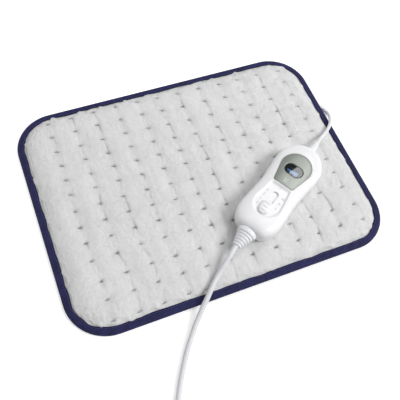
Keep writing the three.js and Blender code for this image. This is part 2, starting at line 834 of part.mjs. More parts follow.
// Slide knob: a low oval cap with grip ribs, and a stem through the slot that carries the switch lever
function makeKnob() {
  const base = dishZ + seat;
  const outline = stadium(knobRest, 0, knobLength, knobWidth).getPoints(5);
  const ring = (inset, z) => outline.map(({ x, y }) => new THREE.Vector3(
    knobRest + (x - knobRest) * (1 - (2 * inset) / knobLength), y * (1 - (2 * inset) / knobWidth), z));
  let knob = solid(loft([
    ring(0, base),
    ring(0.4, base + knobHeight * 0.65),
    ring(1.4, base + knobHeight * 0.92),
    ring(2.6, base + knobHeight),
  ]));
  for (let i = 0; i < gripCount; i += 1) {
    const x = knobRest + (i - (gripCount - 1) / 2) * gripPitch;
    const grip = boxOn(x, 0, base + knobHeight / 2, gripWidth, gripLength, knobHeight / 2 + gripHeight);
    knob = knob.add(solid(grip));
  }
  const stem = prism(stadium(knobRest, 0, stemLength, stemWidth), stemBottom, base + knobHeight / 2);
  const pocket = boxOn(knobRest, 0, stemBottom - 1, leverLength + 2 * seat, leverWidth + 2 * seat,
    leverGrip + seat + 1);
  return shape(knob.add(solid(stem)).subtract(solid(pocket)));
}

const shutterLength = 2 * (knobTravel + stemLength / 2 + shutterLap);
const shutterWidth = slotWidth + 2 * shutterMargin;
const stemHole = stadium(knobRest, 0, stemLength + 2 * seat, stemWidth + 2 * seat);
const shutter = solid(boxOn(knobRest, 0, shutterZ, shutterLength, shutterWidth, shutterThickness))
  .subtract(solid(prism(stemHole, shutterZ - 1, backingZ)));

// Slide switch: a body with a groove, and the lever that the knob's stem takes along
const grooveLength = knobTravel + leverLength + 2 * seat;
const switchLength = grooveLength + 2 * switchEnd;
const grooveWidth = leverWidth + 2 * seat;
const groove = boxOn(slotCentre, 0, switchTop - grooveDepth, grooveLength, grooveWidth, grooveDepth + 1);
const switchBody = solid(boxOn(slotCentre, 0, mountZ, switchLength, switchWidth, switchHeight))
  .subtract(solid(groove));
const leverZ = switchTop - grooveDepth + seat;

addPiece(controller, 'slide_knob', makeKnob(), white);
addPiece(controller, 'slide_shutter', shape(shutter), white);
addPiece(controller, 'switch_body', shape(switchBody), darkPlastic);
addPiece(controller, 'switch_lever',
  boxOn(knobRest, 0, leverZ, leverLength, leverWidth, stemBottom + leverGrip - leverZ), darkPlastic);

// Other parts on the board, set out from the switch and the display frame
const switchSide = switchWidth / 2 + componentGap;
const mainsTerminalX = slotCentre - switchLength / 2 - seat - terminalLength / 2;
const padTerminalX = screwX + seat;
const capacitorY = switchSide + capacitorWidth / 2;
const logicX = (slotCentre + switchLength / 2 + windowCentre - glassWidth / 2) / 2;
const fuseRadius = fuseDiameter / 2;
const fuse = new THREE.CylinderGeometry(fuseRadius, fuseRadius, fuseLength, 12).rotateZ(Math.PI / 2);
fuse.translate(slotCentre, -switchSide - fuseRadius, mountZ + fuseRadius);

addPiece(controller, 'mains_terminal',
  boxOn(mainsTerminalX, 0, mountZ, terminalLength, terminalWidth, terminalHeight), darkPlastic);
addPiece(controller, 'pad_terminal',
  boxOn(padTerminalX, 0, mountZ, terminalLength, terminalWidth, terminalHeight), darkPlastic);
addPiece(controller, 'film_capacitor',
  boxOn(slotCentre, capacitorY, mountZ, capacitorLength, capacitorWidth, capacitorHeight), navy);
addPiece(controller, 'mains_fuse', fuse, steel);
addPiece(controller, 'triac',
  boxOn(logicX, -switchSide - triacWidth / 2, mountZ, triacLength, triacWidth, triacHeight), darkPlastic);
addPiece(controller, 'control_chip',
  boxOn(logicX, switchSide + chipWidth / 2, mountZ, chipLength, chipWidth, chipHeight), darkPlastic);

// Screws driven from below into the pillars of the upper housing
screwPlaces.forEach(([x, y], i) => {
  const profile = [
    [0, screwSink - screwHeadHeight],
    [screwHeadRadius, screwSink - screwHeadHeight],
    [screwHeadRadius, screwSink],
    [screwRadius, screwSink],
    [screwRadius, screwTop],
    [0, screwTop],
  ];
  const screw = new THREE.LatheGeometry(profile.map(([r, z]) => new THREE.Vector2(r, z)), 12);
  addPiece(controller, `housing_screw_${i + 1}`, screw.rotateX(Math.PI / 2).translate(x, y, 0), steel);
});

// Oval rings along the controller's length, for the two lead reliefs
function ovalLoft(sections, flatness) {
  const sides = 16;
  return loft(sections.map(([x, half]) => Array.from({ length: sides }, (_, k) => {
    const angle = (2 * Math.PI * k) / sides;
    return new THREE.Vector3(x, half * Math.cos(angle), leadAxis + half * flatness * Math.sin(angle));
  })));
}

const bootTipX = -mainsEnd - bootLength;

function makeBoot() {
  const collarX = -mainsEnd - seat;
  const ribbed = bootLength - bootCollar;
  const rib = ribbed / (bootRibs - 0.5);
  const inner = -mainsEnd + wall + flangeStep;
  const sections = [];
  for (let i = 0; i < bootRibs; i += 1) {
    const start = bootTipX + i * rib;
    const half = bootTipHalf + ((bootBaseHalf - bootTipHalf) * i) / (bootRibs - 1);
    sections.push([start, half], [start + rib * 0.5, half]);
    if (i < bootRibs - 1) {
      sections.push([start + rib * 0.55, half - bootGroove], [start + rib * 0.95, half - bootGroove]);
    }
  }
  sections.push([collarX - bootCollar * 0.9, bootBaseHalf - bootGroove]);
  sections.push([collarX - bootCollar * 0.4, bootCollarHalf], [collarX, bootCollarHalf]);
  sections.push([collarX, bootNeckHalf], [inner, bootNeckHalf]);
  sections.push([inner, bootFlangeHalf], [inner + flangeThickness, bootFlangeHalf]);
  return ovalLoft(sections, bootFlatness);
}

const reliefTipX = padEnd + reliefLength;

function makeLeadRelief() {
  const baseX = padEnd + seat;
  const inner = padEnd - wall - flangeStep;
  return ovalLoft([
    [inner - flangeThickness, reliefFlangeHalf],
    [inner, reliefFlangeHalf],
    [inner, reliefNeckHalf],
    [baseX, reliefNeckHalf],
    [baseX, reliefBaseHalf],
    [padEnd + reliefLength * 0.45, (reliefBaseHalf + reliefTipHalf) / 2],
    [reliefTipX, reliefTipHalf],
  ], 1);
}

addPiece(controller, 'mains_strain_relief', makeBoot(), white);
addPiece(controller, 'pad_lead_relief', makeLeadRelief(), white);

// Insulated cores from each relief to its terminal
function coreBetween(fromX, toX, y) {
  const lift = mountZ + terminalHeight / 2;
  const points = [
    new THREE.Vector3(fromX, y, leadAxis),
    new THREE.Vector3((fromX + toX) / 2, y, (leadAxis + lift) / 2),
    new THREE.Vector3(toX, y, lift),
  ];
  return tubeAlong(points, ovalShape(coreDiameter / 2, coreDiameter / 2), 4, 6);
}

const mainsFlangeX = -mainsEnd + wall + flangeStep + flangeThickness + seat;
const leadFlangeX = padEnd - wall - flangeStep - flangeThickness - seat;
const mainsCoreEnd = mainsTerminalX - terminalLength / 2 - seat;
const leadCoreEnd = padTerminalX + terminalLength / 2 + seat;
[[-coreSpread, 'live'], [coreSpread, 'neutral']].forEach(([y, name]) => {
  addPiece(controller, `mains_core_${name}`, coreBetween(mainsFlangeX, mainsCoreEnd, y), darkPlastic);
});
[[-coreSpread, 'feed'], [coreSpread, 'return']].forEach(([y, name]) => {
  addPiece(controller, `pad_core_${name}`, coreBetween(leadFlangeX, leadCoreEnd, y), darkPlastic);
});

// A point of the controller in the pad's frame
function onPad(x, y, z) {
  controller.updateMatrixWorld(true);
  return new THREE.Vector3(x, y, z).applyMatrix4(controller.matrixWorld);
}

const mainsSection = ovalShape(mainsDiameter / 2, mainsDiameter / 2);
const leadSection = ovalShape(leadDiameter / 2, leadDiameter / 2);

// Mains lead, from the ribbed relief over the pad's front edge and along the floor to the coil
const coilFloor = tieThickness + 2 * seat + mainsDiameter / 2;
const coilRise = mainsDiameter + coilGap;
const mainsRoute = [
  [-208.5, 37.4, 23.8],
  [-219, 29.4, 20.2],
  [-229.2, 21.8, 16.8],
  [-237.9, 14.3, 15.2],
  [-245.5, 6.7, 14],
  [-251.4, 0.9, 12.5],
  [-257, -4.2, 10.7],
  [-263.1, -10.6, 8.3],
  [-270.3, -17.9, 6],
  [-279.1, -28.5, 4.2],
  [-287.8, -39, 3.4],
  [-295.6, -50, 3.2],
  [-302.8, -61.1, 3.2],
  [-308.9, -71.1, 3.2],
  [-314.4, -81.1, 3.2],
  [-319.7, -90.8, 3.3],
  [-325.5, -101.6, 3.7],
  [-331.2, -112.2, 4.2],
];

// One way along the coil: straight in, round and inward, up a layer, round and outward, straight out
function coilPoint(turns) {
  const spiral = (coilTurns - 0.5) / 2;
  const rate = (coilOuter - coilInner) / spiral;
  const past = Math.min(Math.max(turns - spiral, 0), 0.5);
  const climb = past / 0.5;
  let radius = coilOuter - rate * Math.min(turns, spiral);
  radius -= rate * past * (1 - climb);
  radius += rate * Math.max(turns - spiral - 0.5, 0);
  const angle = coilStart + 2 * Math.PI * turns;
  const lift = climb * climb * (3 - 2 * climb) * coilRise;
  return new THREE.Vector3(
    coilCentre.x + radius * Math.cos(angle),
    coilCentre.y + radius * Math.sin(angle),
    coilFloor + lift,
  );
}

function coilCentreline() {
  const steps = Math.round(coilTurns * loopSteps);
  const points = Array.from({ length: steps + 1 }, (_, i) => coilPoint((coilTurns * i) / steps));
  const heading = (angle) => new THREE.Vector3(-Math.sin(angle), Math.cos(angle), 0);
  const endAngle = coilStart + 2 * Math.PI * coilTurns;
  points.unshift(points[0].clone().addScaledVector(heading(coilStart), -mainsDiameter));
  points.push(points[points.length - 1].clone().addScaledVector(heading(endAngle), mainsDiameter));
  return points;
}

const coil = coilCentreline();
let coilClearance = Infinity;
coil.forEach((point, i) => coil.slice(i + loopSteps / 2).forEach((other) => {
  coilClearance = Math.min(coilClearance, point.distanceTo(other) - mainsDiameter);
}));
console.log(`least gap between the turns of the coil: ${coilClearance.toFixed(2)} mm`);

const coilIn = coil[0].clone();
const coilInWay = coil[1].clone().sub(coil[0]).normalize();
const coilOut = coil[coil.length - 1].clone();
const coilOutWay = coilOut.clone().sub(coil[coil.length - 2]).normalize();
const controllerWay = new THREE.Vector3(Math.cos(controllerTurn), Math.sin(controllerTurn), 0);
const plugWay = new THREE.Vector3(1, 0, 0);

// A lead's points, straight for one diameter where it leaves a piece and where it meets the next
function leadPoints(start, startWay, route, end, endWay, diameter) {
  const from = start.clone().addScaledVector(startWay, seat);
  const to = end.clone().addScaledVector(endWay, -seat);
  return [
    from,
    from.clone().addScaledVector(startWay, diameter),
    ...route.map(fromCorner),
    to.clone().addScaledVector(endWay, -diameter),
    to,
  ];
}

const mainsStart = onPad(bootTipX, 0, leadAxis);
const mainsWay = controllerWay.clone().negate();
const mainsLead = leadPoints(mainsStart, mainsWay, mainsRoute, coilIn, coilInWay, mainsDiameter);
const tailRoute = [
  [-260, -182.6, 9.9],
  [-251, -180.3, 8.3],
  [-244, -179.6, 7.3],
];
const tailLead = leadPoints(coilOut, coilOutWay, tailRoute, plugTip, plugWay, mainsDiameter);

// Pad lead, from the smooth relief over the binding and down its outside to the gland
const leadRoute = [
  [-34.8, 146.7, 22.8],
  [-31.3, 149, 21],
  [-24.3, 153.7, 17.6],
  [-17.7, 158.2, 15.2],
  [-13.1, 161.8, 13.9],
  [-9.2, 165.2, 12.8],
  [-4.6, 170.1, 11.2],
  [-1.1, 175.2, 10],
  [1.6, 180.5, 8.6],
  [3.6, 185.2, 6.4],
  [5, 189, 4.4],
];
const [glandMouth, glandNext] = glandRoute;
const glandWay = glandNext.clone().sub(glandMouth).normalize();
const leadStart = onPad(reliefTipX, 0, leadAxis);
const padLead = leadPoints(leadStart, controllerWay, leadRoute, glandMouth, glandWay, leadDiameter);

addPiece(model, 'mains_cord', tubeAlong(mainsLead, mainsSection, 20, 10), white);
addPiece(model, 'mains_cord_coil', levelTube(coil, mainsDiameter / 2, loopSides), white);
addPiece(model, 'mains_cord_tail', tubeAlong(tailLead, mainsSection, 6, 10), white);
addPiece(model, 'pad_lead', tubeAlong(padLead, leadSection, 12, 10), white);

// Flat tie round one side of the coil
function roundedRect(x0, x1, y0, y1, radius, Path) {
  const outline = new Path();
  outline.moveTo(x0 + radius, y0);
  outline.lineTo(x1 - radius, y0);
  outline.absarc(x1 - radius, y0 + radius, radius, -Math.PI / 2, 0);
  outline.lineTo(x1, y1 - radius);
  outline.absarc(x1 - radius, y1 - radius, radius, 0, Math.PI / 2);
  outline.lineTo(x0 + radius, y1);
  outline.absarc(x0 + radius, y1 - radius, radius, Math.PI / 2, Math.PI);
  outline.lineTo(x0, y0 + radius);
  outline.absarc(x0 + radius, y0 + radius, radius, Math.PI, 1.5 * Math.PI);
  return outline;
}

function makeTie() {
  const half = mainsDiameter / 2;
  const innerLow = coilFloor - half - seat;
  const innerHigh = coilFloor + coilRise + half + seat;
  const innerNear = coilInner - half - tieEase - coilGap;
  const innerFar = coilOuter + half + tieEase;
  const band = roundedRect(innerNear - tieThickness, innerFar + tieThickness,
    innerLow - tieThickness, innerHigh + tieThickness, half + tieThickness, THREE.Shape);
  band.holes.push(roundedRect(innerNear, innerFar, innerLow, innerHigh, half / 2, THREE.Path));
  const tie = new THREE.ExtrudeGeometry(band, { depth: tieWidth, bevelEnabled: false, curveSegments: 3 });
  tie.translate(0, 0, -tieWidth / 2).rotateX(Math.PI / 2).rotateZ(tieAngle);
  return tie.translate(coilCentre.x, coilCentre.y, 0);
}

// Flat two-pin plug lying on the floor, its taper towards the cord
function makePlugBody() {
  const sides = 16;
  const face = plugTaper + plugLength;
  const sections = [
    [0, plugTipHalf, plugTipHalf],
    [plugTaper * 0.8, plugTipHalf * 1.35, plugTipHalf * 1.25],
    [plugTaper, plugTipHalf * 2, plugHalfHeight * 0.85],
    [plugTaper + plugLength * 0.2, plugWaistHalf * 0.9, plugHalfHeight],
    [plugTaper + plugLength * 0.55, plugWaistHalf, plugHalfHeight],
    [face - plugLength * 0.08, plugHalfWidth, plugHalfHeight],
    [face, plugHalfWidth, plugHalfHeight],
  ];
  const squareness = 0.55;
  const bulge = (value) => Math.sign(value) * Math.abs(value) ** squareness;
  return loft(sections.map(([x, halfWidth, halfHeight]) => Array.from({ length: sides }, (_, k) => {
    const angle = (2 * Math.PI * (k + 0.5)) / sides;
    return new THREE.Vector3(
      plugTip.x + x,
      plugTip.y + halfWidth * bulge(Math.cos(angle)),
      plugTip.z + halfHeight * bulge(Math.sin(angle)),
    );
  })));
}

function makePin(side) {
  const round = pinRadius * 0.5;
  const profile = [
    [0, 0],
    [pinRadius, 0],
    [pinRadius, pinLength - round],
    [round, pinLength],
    [0, pinLength],
  ];
  const pin = new THREE.LatheGeometry(profile.map(([r, along]) => new THREE.Vector2(r, along)), 12);
  const faceX = plugTip.x + plugTaper + plugLength + seat;
  return pin.rotateZ(-Math.PI / 2).translate(faceX, plugTip.y + side * pinSpread, plugTip.z);
}

addPiece(model, 'coil_tie', makeTie(), darkPlastic);
addPiece(model, 'plug_body', makePlugBody(), white);
addPiece(model, 'plug_pin_1', makePin(-1), brass);
addPiece(model, 'plug_pin_2', makePin(1), brass);

export default model;
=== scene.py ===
import math
import bmesh
import bpy
import numpy as np
from mathutils import Matrix, Vector


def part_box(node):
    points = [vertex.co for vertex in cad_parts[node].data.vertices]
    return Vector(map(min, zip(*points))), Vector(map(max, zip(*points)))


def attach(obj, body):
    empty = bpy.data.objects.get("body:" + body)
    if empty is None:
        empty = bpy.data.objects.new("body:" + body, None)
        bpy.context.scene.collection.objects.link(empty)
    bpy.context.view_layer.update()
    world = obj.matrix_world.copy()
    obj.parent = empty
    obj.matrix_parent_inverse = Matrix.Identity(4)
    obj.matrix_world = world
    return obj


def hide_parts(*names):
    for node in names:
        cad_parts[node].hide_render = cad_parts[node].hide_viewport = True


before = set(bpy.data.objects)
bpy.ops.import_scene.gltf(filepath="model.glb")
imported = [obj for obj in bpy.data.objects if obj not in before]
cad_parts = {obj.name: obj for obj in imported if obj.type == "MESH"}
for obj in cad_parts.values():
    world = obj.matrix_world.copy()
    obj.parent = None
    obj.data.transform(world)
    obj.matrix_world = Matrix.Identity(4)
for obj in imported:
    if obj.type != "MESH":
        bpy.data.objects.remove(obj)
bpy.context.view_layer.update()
scene = bpy.context.scene
scene.view_settings.view_transform = "Standard"
mm = 0.001
padBody, knobBody = "pad_and_controller", "slider"


# small helpers for meshes, all sizes in mm until they reach a mesh

def smoothShade(mesh, sharp):
    mesh.shade_smooth()
    mesh.set_sharp_from_angle(angle=math.radians(sharp))


def linkMesh(name, mesh, material, sharp=45):
    piece = bpy.data.objects.new(name, mesh)
    scene.collection.objects.link(piece)
    mesh.materials.clear()
    mesh.materials.append(material)
    smoothShade(mesh, sharp)
    return piece


def meshPiece(name, points, faces, material, sharp=45, tidy=True):
    mesh = bpy.data.meshes.new(name)
    mesh.from_pydata((np.asarray(points, float) * mm).tolist(), [], faces)
    if tidy:
        work = bmesh.new()
        work.from_mesh(mesh)
        bmesh.ops.remove_doubles(work, verts=work.verts, dist=1e-7)
        bmesh.ops.recalc_face_normals(work, faces=work.faces)
        work.to_mesh(mesh)
        work.free()
    mesh.update()
    return linkMesh(name, mesh, material, sharp)


def ringFaces(count, around, caps=(True, True), wrap=False, first=0):
    faces = []
    for k in range(count if wrap else count - 1):
        low, high = first + k * around, first + ((k + 1) % count) * around
        for j in range(around):
            n = (j + 1) % around
            faces.append((low + j, low + n, high + n, high + j))
    if caps[0] and not wrap:
        faces.append(tuple(first + j for j in reversed(range(around))))
    if caps[1] and not wrap:
        faces.append(tuple(first + (count - 1) * around + j for j in range(around)))
    return faces


def addRings(points, faces, rings):
    # one more closed form in a piece that is made of several
    rings = np.asarray(rings, float)
    faces += ringFaces(*rings.shape[:2], first=len(points))
    points += rings.reshape(-1, 3).tolist()


def loftPiece(name, rings, material, caps=(True, True), wrap=False, sharp=45):
    rings = np.asarray(rings, float)
    return meshPiece(name, rings.reshape(-1, 3), ringFaces(*rings.shape[:2], caps, wrap), material, sharp)


def ringUv(piece, around, along, across):
    # along: length at each ring, across: place round the ring, both in mm, one more value to close the loop
    layer = piece.data.uv_layers.new(name="lay")
    for face in piece.data.polygons:
        row, column = divmod(face.index, around)
        for corner in face.loop_indices:
            ring, j = divmod(piece.data.loops[corner].vertex_index, around)
            k = ring if ring in (row, row + 1) else row + 1
            n = j if j in (column, column + 1) else around
            layer.data[corner].uv = (along[k] * mm, across[n] * mm)


def setFloats(mesh, name, values):
    mesh.attributes.new(name, "FLOAT", "POINT").data.foreach_set("value", values)


def bake(piece):
    # the modifiers' result becomes the plain mesh
    bpy.context.view_layer.update()
    shown = piece.evaluated_get(bpy.context.evaluated_depsgraph_get())
    mesh = bpy.data.meshes.new_from_object(shown)
    old = piece.data
    piece.modifiers.clear()
    piece.data = mesh
    bpy.data.meshes.remove(old)
    return piece


def carve(piece, cutters, how="DIFFERENCE"):
    for cutter in cutters:
        cut = piece.modifiers.new("carve", "BOOLEAN")
        cut.object = cutter
        cut.operation = how
        cut.solver = "EXACT"
    bake(piece)
    for cutter in cutters:
        bpy.data.objects.remove(cutter)


def finishPiece(piece, body, slot, *replaced):
    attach(piece, body)
    if replaced:
        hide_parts(*replaced)


# lines and outlines

def roundTurn(count, start=0.0):
    # evenly spread angles of one full turn
    return np.linspace(start, start + 2 * math.pi, count, endpoint=False)


def atLevel(line, z):
    return np.column_stack([line, np.full(len(line), z)])


def runOf(line):
    return np.concatenate([[0], np.cumsum(np.linalg.norm(np.diff(line, axis=0), axis=1))])


def smoothLine(points, steps=10):
    # centripetal curve through the points, as the cords' solids have it
    p = [np.asarray(q, float) for q in points]
    p = [2 * p[0] - p[1]] + p + [2 * p[-1] - p[-2]]
    line = []
    for a, b, c, d in zip(p, p[1:], p[2:], p[3:]):
        da, db, dc = (max(np.linalg.norm(v), 1e-6) ** 0.5 for v in (b - a, c - b, d - c))
        ta = ((b - a) / da - (c - a) / (da + db) + (c - b) / db) * db
        tb = ((c - b) / db - (d - b) / (db + dc) + (d - c) / dc) * db
        for t in np.linspace(0, 1, steps, endpoint=False):
            line.append(b + ta * t + (3 * c - 3 * b - 2 * ta - tb) * t * t + (2 * b - 2 * c + ta + tb) * t ** 3)
    line.append(p[-2])
    return np.array(line)


def evenLine(line, step):
    line = line[np.concatenate([[True], np.linalg.norm(np.diff(line, axis=0), axis=1) > 1e-6])]
    run = runOf(line)
    spots = np.linspace(0, run[-1], max(2, int(round(run[-1] / step)) + 1))
    return np.stack([np.interp(spots, run, line[:, k]) for k in range(3)], axis=1), spots


def headings(line):
    way = np.gradient(line, axis=0)
    return way / np.linalg.norm(way, axis=1)[:, None]


def tubeRings(line, radius, sides):
    turn = roundTurn(sides)[:, None]
    across = np.cross(headings(line)[0], (0, 0, 1))
    rings = []
    for point, ahead in zip(line, headings(line)):
        across = across - ahead * across.dot(ahead)
        across /= np.linalg.norm(across)
        rings.append(point + radius * (np.cos(turn) * across + np.sin(turn) * np.cross(ahead, across)))
    return np.array(rings)


def hullOf(circles):
    # outline round a few circles (x, y, radius), as a closed line of many points
    turn = roundTurn(180)
    spots = np.concatenate([np.stack([x + r * np.cos(turn), y + r * np.sin(turn)], 1) for x, y, r in circles])
    spots = spots[np.lexsort((spots[:, 1], spots[:, 0]))]

    def half(points):
        chain = []
        for q in points:
            while len(chain) > 1:
                one, two = chain[-1] - chain[-2], q - chain[-1]
                if one[0] * two[1] - one[1] * two[0] > 1e-12:
                    break
                chain.pop()
            chain.append(q)
        return chain

    return np.array(half(spots)[:-1] + half(spots[::-1])[:-1])


def polarLine(outline, centre, turns):
    # points of an outline in the given directions from a centre
    away = outline - centre
    turn = np.arctan2(away[:, 1], away[:, 0])
    order = np.argsort(turn)
    far = np.tile(np.linalg.norm(away, axis=1)[order], 3)
    turn = np.concatenate([turn[order] + full for full in (-2 * math.pi, 0, 2 * math.pi)])
    # finer points go in first, so that a straight stretch stays straight
    fine = np.arange(0, len(far) - 1, 1 / 12)
    xs, ys = (np.interp(fine, np.arange(len(far)), far * part(turn)) for part in (np.cos, np.sin))
    fineTurn = np.unwrap(np.arctan2(ys, xs)) + (turn[0] - math.atan2(ys[0], xs[0]))
    reach = np.interp(turns, fineTurn, np.hypot(xs, ys))
    return centre + np.stack([reach * np.cos(turns), reach * np.sin(turns)], 1)


def signedGap(points, outline):
    # distance inside a closed outline, below zero outside
    best = np.full(len(points), 1e9)
    inside = np.ones(len(points), bool)
    for a, b in zip(outline, np.roll(outline, -1, axis=0)):
        side = b - a
        size = side.dot(side)
        if size < 1e-12:
            continue
        t = np.clip((points - a).dot(side) / size, 0, 1)
        best = np.minimum(best, np.linalg.norm(points - a - t[:, None] * side, axis=1))
        inside &= side[0] * (points[:, 1] - a[1]) - side[1] * (points[:, 0] - a[0]) > 0
    return np.where(inside, best, -best)


def easeStep(low, high, value):
    t = np.clip((value - low) / (high - low), 0, 1)
    return t * t * (3 - 2 * t)


def bell(value, wide):
    return np.exp(-0.5 * (value / wide) ** 2)


# nodes, for finishes and for geometry trees

def addNode(tree, kind, settings=None, inputs=None):
    # a node given to an input stands for its first output in use
    made = tree.nodes.new(kind)
    for key, value in (settings or {}).items():
        setattr(made, key, value)
    for key, value in (inputs or {}).items():
        if isinstance(value, bpy.types.Node):
            value = next(socket for socket in value.outputs if socket.enabled)
        if isinstance(value, bpy.types.NodeSocket):
            tree.links.new(value, made.inputs[key])
        else:
            made.inputs[key].default_value = value
    return made


def startTree(name, sizes):
    # a geometry tree with a named input for each of its sizes
    kinds = {int: "Int", float: "Float", Vector: "Vector"}
    tree = bpy.data.node_groups.new(name, "GeometryNodeTree")
    tree.interface.new_socket("Made", in_out="OUTPUT", socket_type="NodeSocketGeometry")
    tree.interface.new_socket("Base", in_out="INPUT", socket_type="NodeSocketGeometry")
    for label, size in sizes.items():
        tree.interface.new_socket(label, in_out="INPUT", socket_type="NodeSocket" + kinds[type(size)])
    return tree, addNode(tree, "NodeGroupInput").outputs


def endTree(tree, geometry, material):
    whole = addNode(tree, "GeometryNodeRealizeInstances", inputs={"Geometry": geometry})
    dressed = addNode(tree, "GeometryNodeSetMaterial", inputs={"Geometry": whole, "Material": material})
    addNode(tree, "NodeGroupOutput", inputs={"Made": dressed})


def growPiece(base, tree, sizes):
    # the tree runs on a base object, and its result is kept as a plain mesh
    grow = base.modifiers.new("grow", "NODES")
    grow.node_group = tree
    for item in tree.interface.items_tree:
        if item.name in sizes:
            grow[item.identifier] = sizes[item.name]
    bake(base)
    base.data.shade_smooth()
    return base


def inMetres(sizes, *names):
    # a tree's inputs from a piece's own sizes
    return {name.capitalize(): sizes[name] * mm for name in names}


# finishes

def hexColour(code):
    parts = [int(code[k:k + 2], 16) / 255 for k in (1, 3, 5)]
    return tuple(c / 12.92 if c <= 0.04045 else ((c + 0.055) / 1.055) ** 2.4 for c in parts) + (1.0,)


def newFinish(name):
    material = bpy.data.materials.new(name)
    material.use_nodes = True
    material.node_tree.nodes.clear()
    return material, material.node_tree


def perMm(size):
    # texture scale for features of a size in mm, on coordinates in metres
    return 1000 / size


def mottledFinish(name, dark, light, grain, bump, shader, patch=None):
    # moulded or cast surface: fine grain in the relief, slow drift in the colour and the gloss
    material, tree = newFinish(name)
    place = addNode(tree, "ShaderNodeTexCoord").outputs["Object"]
    fine = addNode(tree, "ShaderNodeTexNoise", inputs={
        "Vector": place, "Scale": perMm(grain), "Detail": 3.0, "Roughness": 0.6})
    slow = addNode(tree, "ShaderNodeTexNoise", inputs={
        "Vector": place, "Scale": perMm(patch or grain * 25), "Detail": 2.0})
    tint = addNode(tree, "ShaderNodeMix", {"data_type": "RGBA"}, {
        "Factor": slow, "A": hexColour(dark), "B": hexColour(light)})
    gloss = addNode(tree, "ShaderNodeMapRange", inputs={
        "Value": fine, "To Min": shader["Roughness"] * 0.85, "To Max": shader["Roughness"] * 1.15})
    relief = addNode(tree, "ShaderNodeBump", inputs={
        "Height": fine, "Strength": bump, "Distance": grain * 0.25 * mm})
    body = addNode(tree, "ShaderNodeBsdfPrincipled", inputs={
        **shader, "Base Color": tint, "Roughness": gloss, "Normal": relief})
    addNode(tree, "ShaderNodeOutputMaterial", inputs={"Surface": body})
    return material


# polyester plush, short pile: soft bloom at the edges, small locks of fibre, faint strokes the way it was brushed,
# grey where the sewing presses the pile flat, with painted shade darkening it in the tuft slits and along the
# creases;
# real fibres are 0.05 mm, so the locks are drawn over 1 mm wide
def plushFinish(name, dark, light, pressedShadeColour, lock):
    material, tree = newFinish(name)
    place = addNode(tree, "ShaderNodeTexCoord").outputs["Object"]
    locks = addNode(tree, "ShaderNodeTexNoise", inputs={
        "Vector": place, "Scale": perMm(lock), "Detail": 4.0, "Roughness": 0.65})
    brushed = addNode(tree, "ShaderNodeMapping", inputs={
        "Vector": place, "Rotation": (0, 0, math.radians(4)), "Scale": (1, 0.25, 1)})
    strokes = addNode(tree, "ShaderNodeTexNoise", inputs={
        "Vector": brushed, "Scale": perMm(8), "Detail": 3.0, "Roughness": 0.55})
    both = addNode(tree, "ShaderNodeMath", {"operation": "MULTIPLY_ADD"}, {0: locks, 1: 0.6, 2: strokes})
    spread = addNode(tree, "ShaderNodeMapRange", inputs={"Value": both, "From Min": 0.55, "From Max": 1.05})
    tint = addNode(tree, "ShaderNodeMix", {"data_type": "RGBA"}, {
        "Factor": spread, "A": hexColour(dark), "B": hexColour(light)})
    # painted shade: the pile greys towards this colour in the tuft slits and along the creases
    pressedAndShade = addNode(tree, "ShaderNodeAttribute", {"attribute_name": "pressedAndShade"})
    shade = addNode(tree, "ShaderNodeMix", {"data_type": "RGBA"}, {
        "Factor": pressedAndShade.outputs["Fac"], "A": tint, "B": hexColour(pressedShadeColour)})
    # light sinks in between the fibres, so a lock shades mostly as the cloth under it does
    cloth = addNode(tree, "ShaderNodeAttribute", {"attribute_name": "clothNormal"})
    own = addNode(tree, "ShaderNodeNewGeometry")
    blended = addNode(tree, "ShaderNodeVectorMath", {"operation": "MULTIPLY_ADD"}, {
        0: cloth.outputs["Vector"], 1: (1.6, 1.6, 1.6), 2: own.outputs["Normal"]})
    soft = addNode(tree, "ShaderNodeVectorMath", {"operation": "NORMALIZE"}, {0: blended})
    relief = addNode(tree, "ShaderNodeBump", inputs={
        "Height": locks, "Normal": soft, "Strength": 0.5, "Distance": 0.6 * mm})
    body = addNode(tree, "ShaderNodeBsdfPrincipled", inputs={
        "Base Color": shade, "Normal": relief, "Roughness": 0.95, "Specular IOR Level": 0.15,
        "Sheen Weight": 0.25, "Sheen Roughness": 0.45, "Sheen Tint": hexColour("#f4f4f2")})
    addNode(tree, "ShaderNodeOutputMaterial", inputs={"Surface": body})
    return material
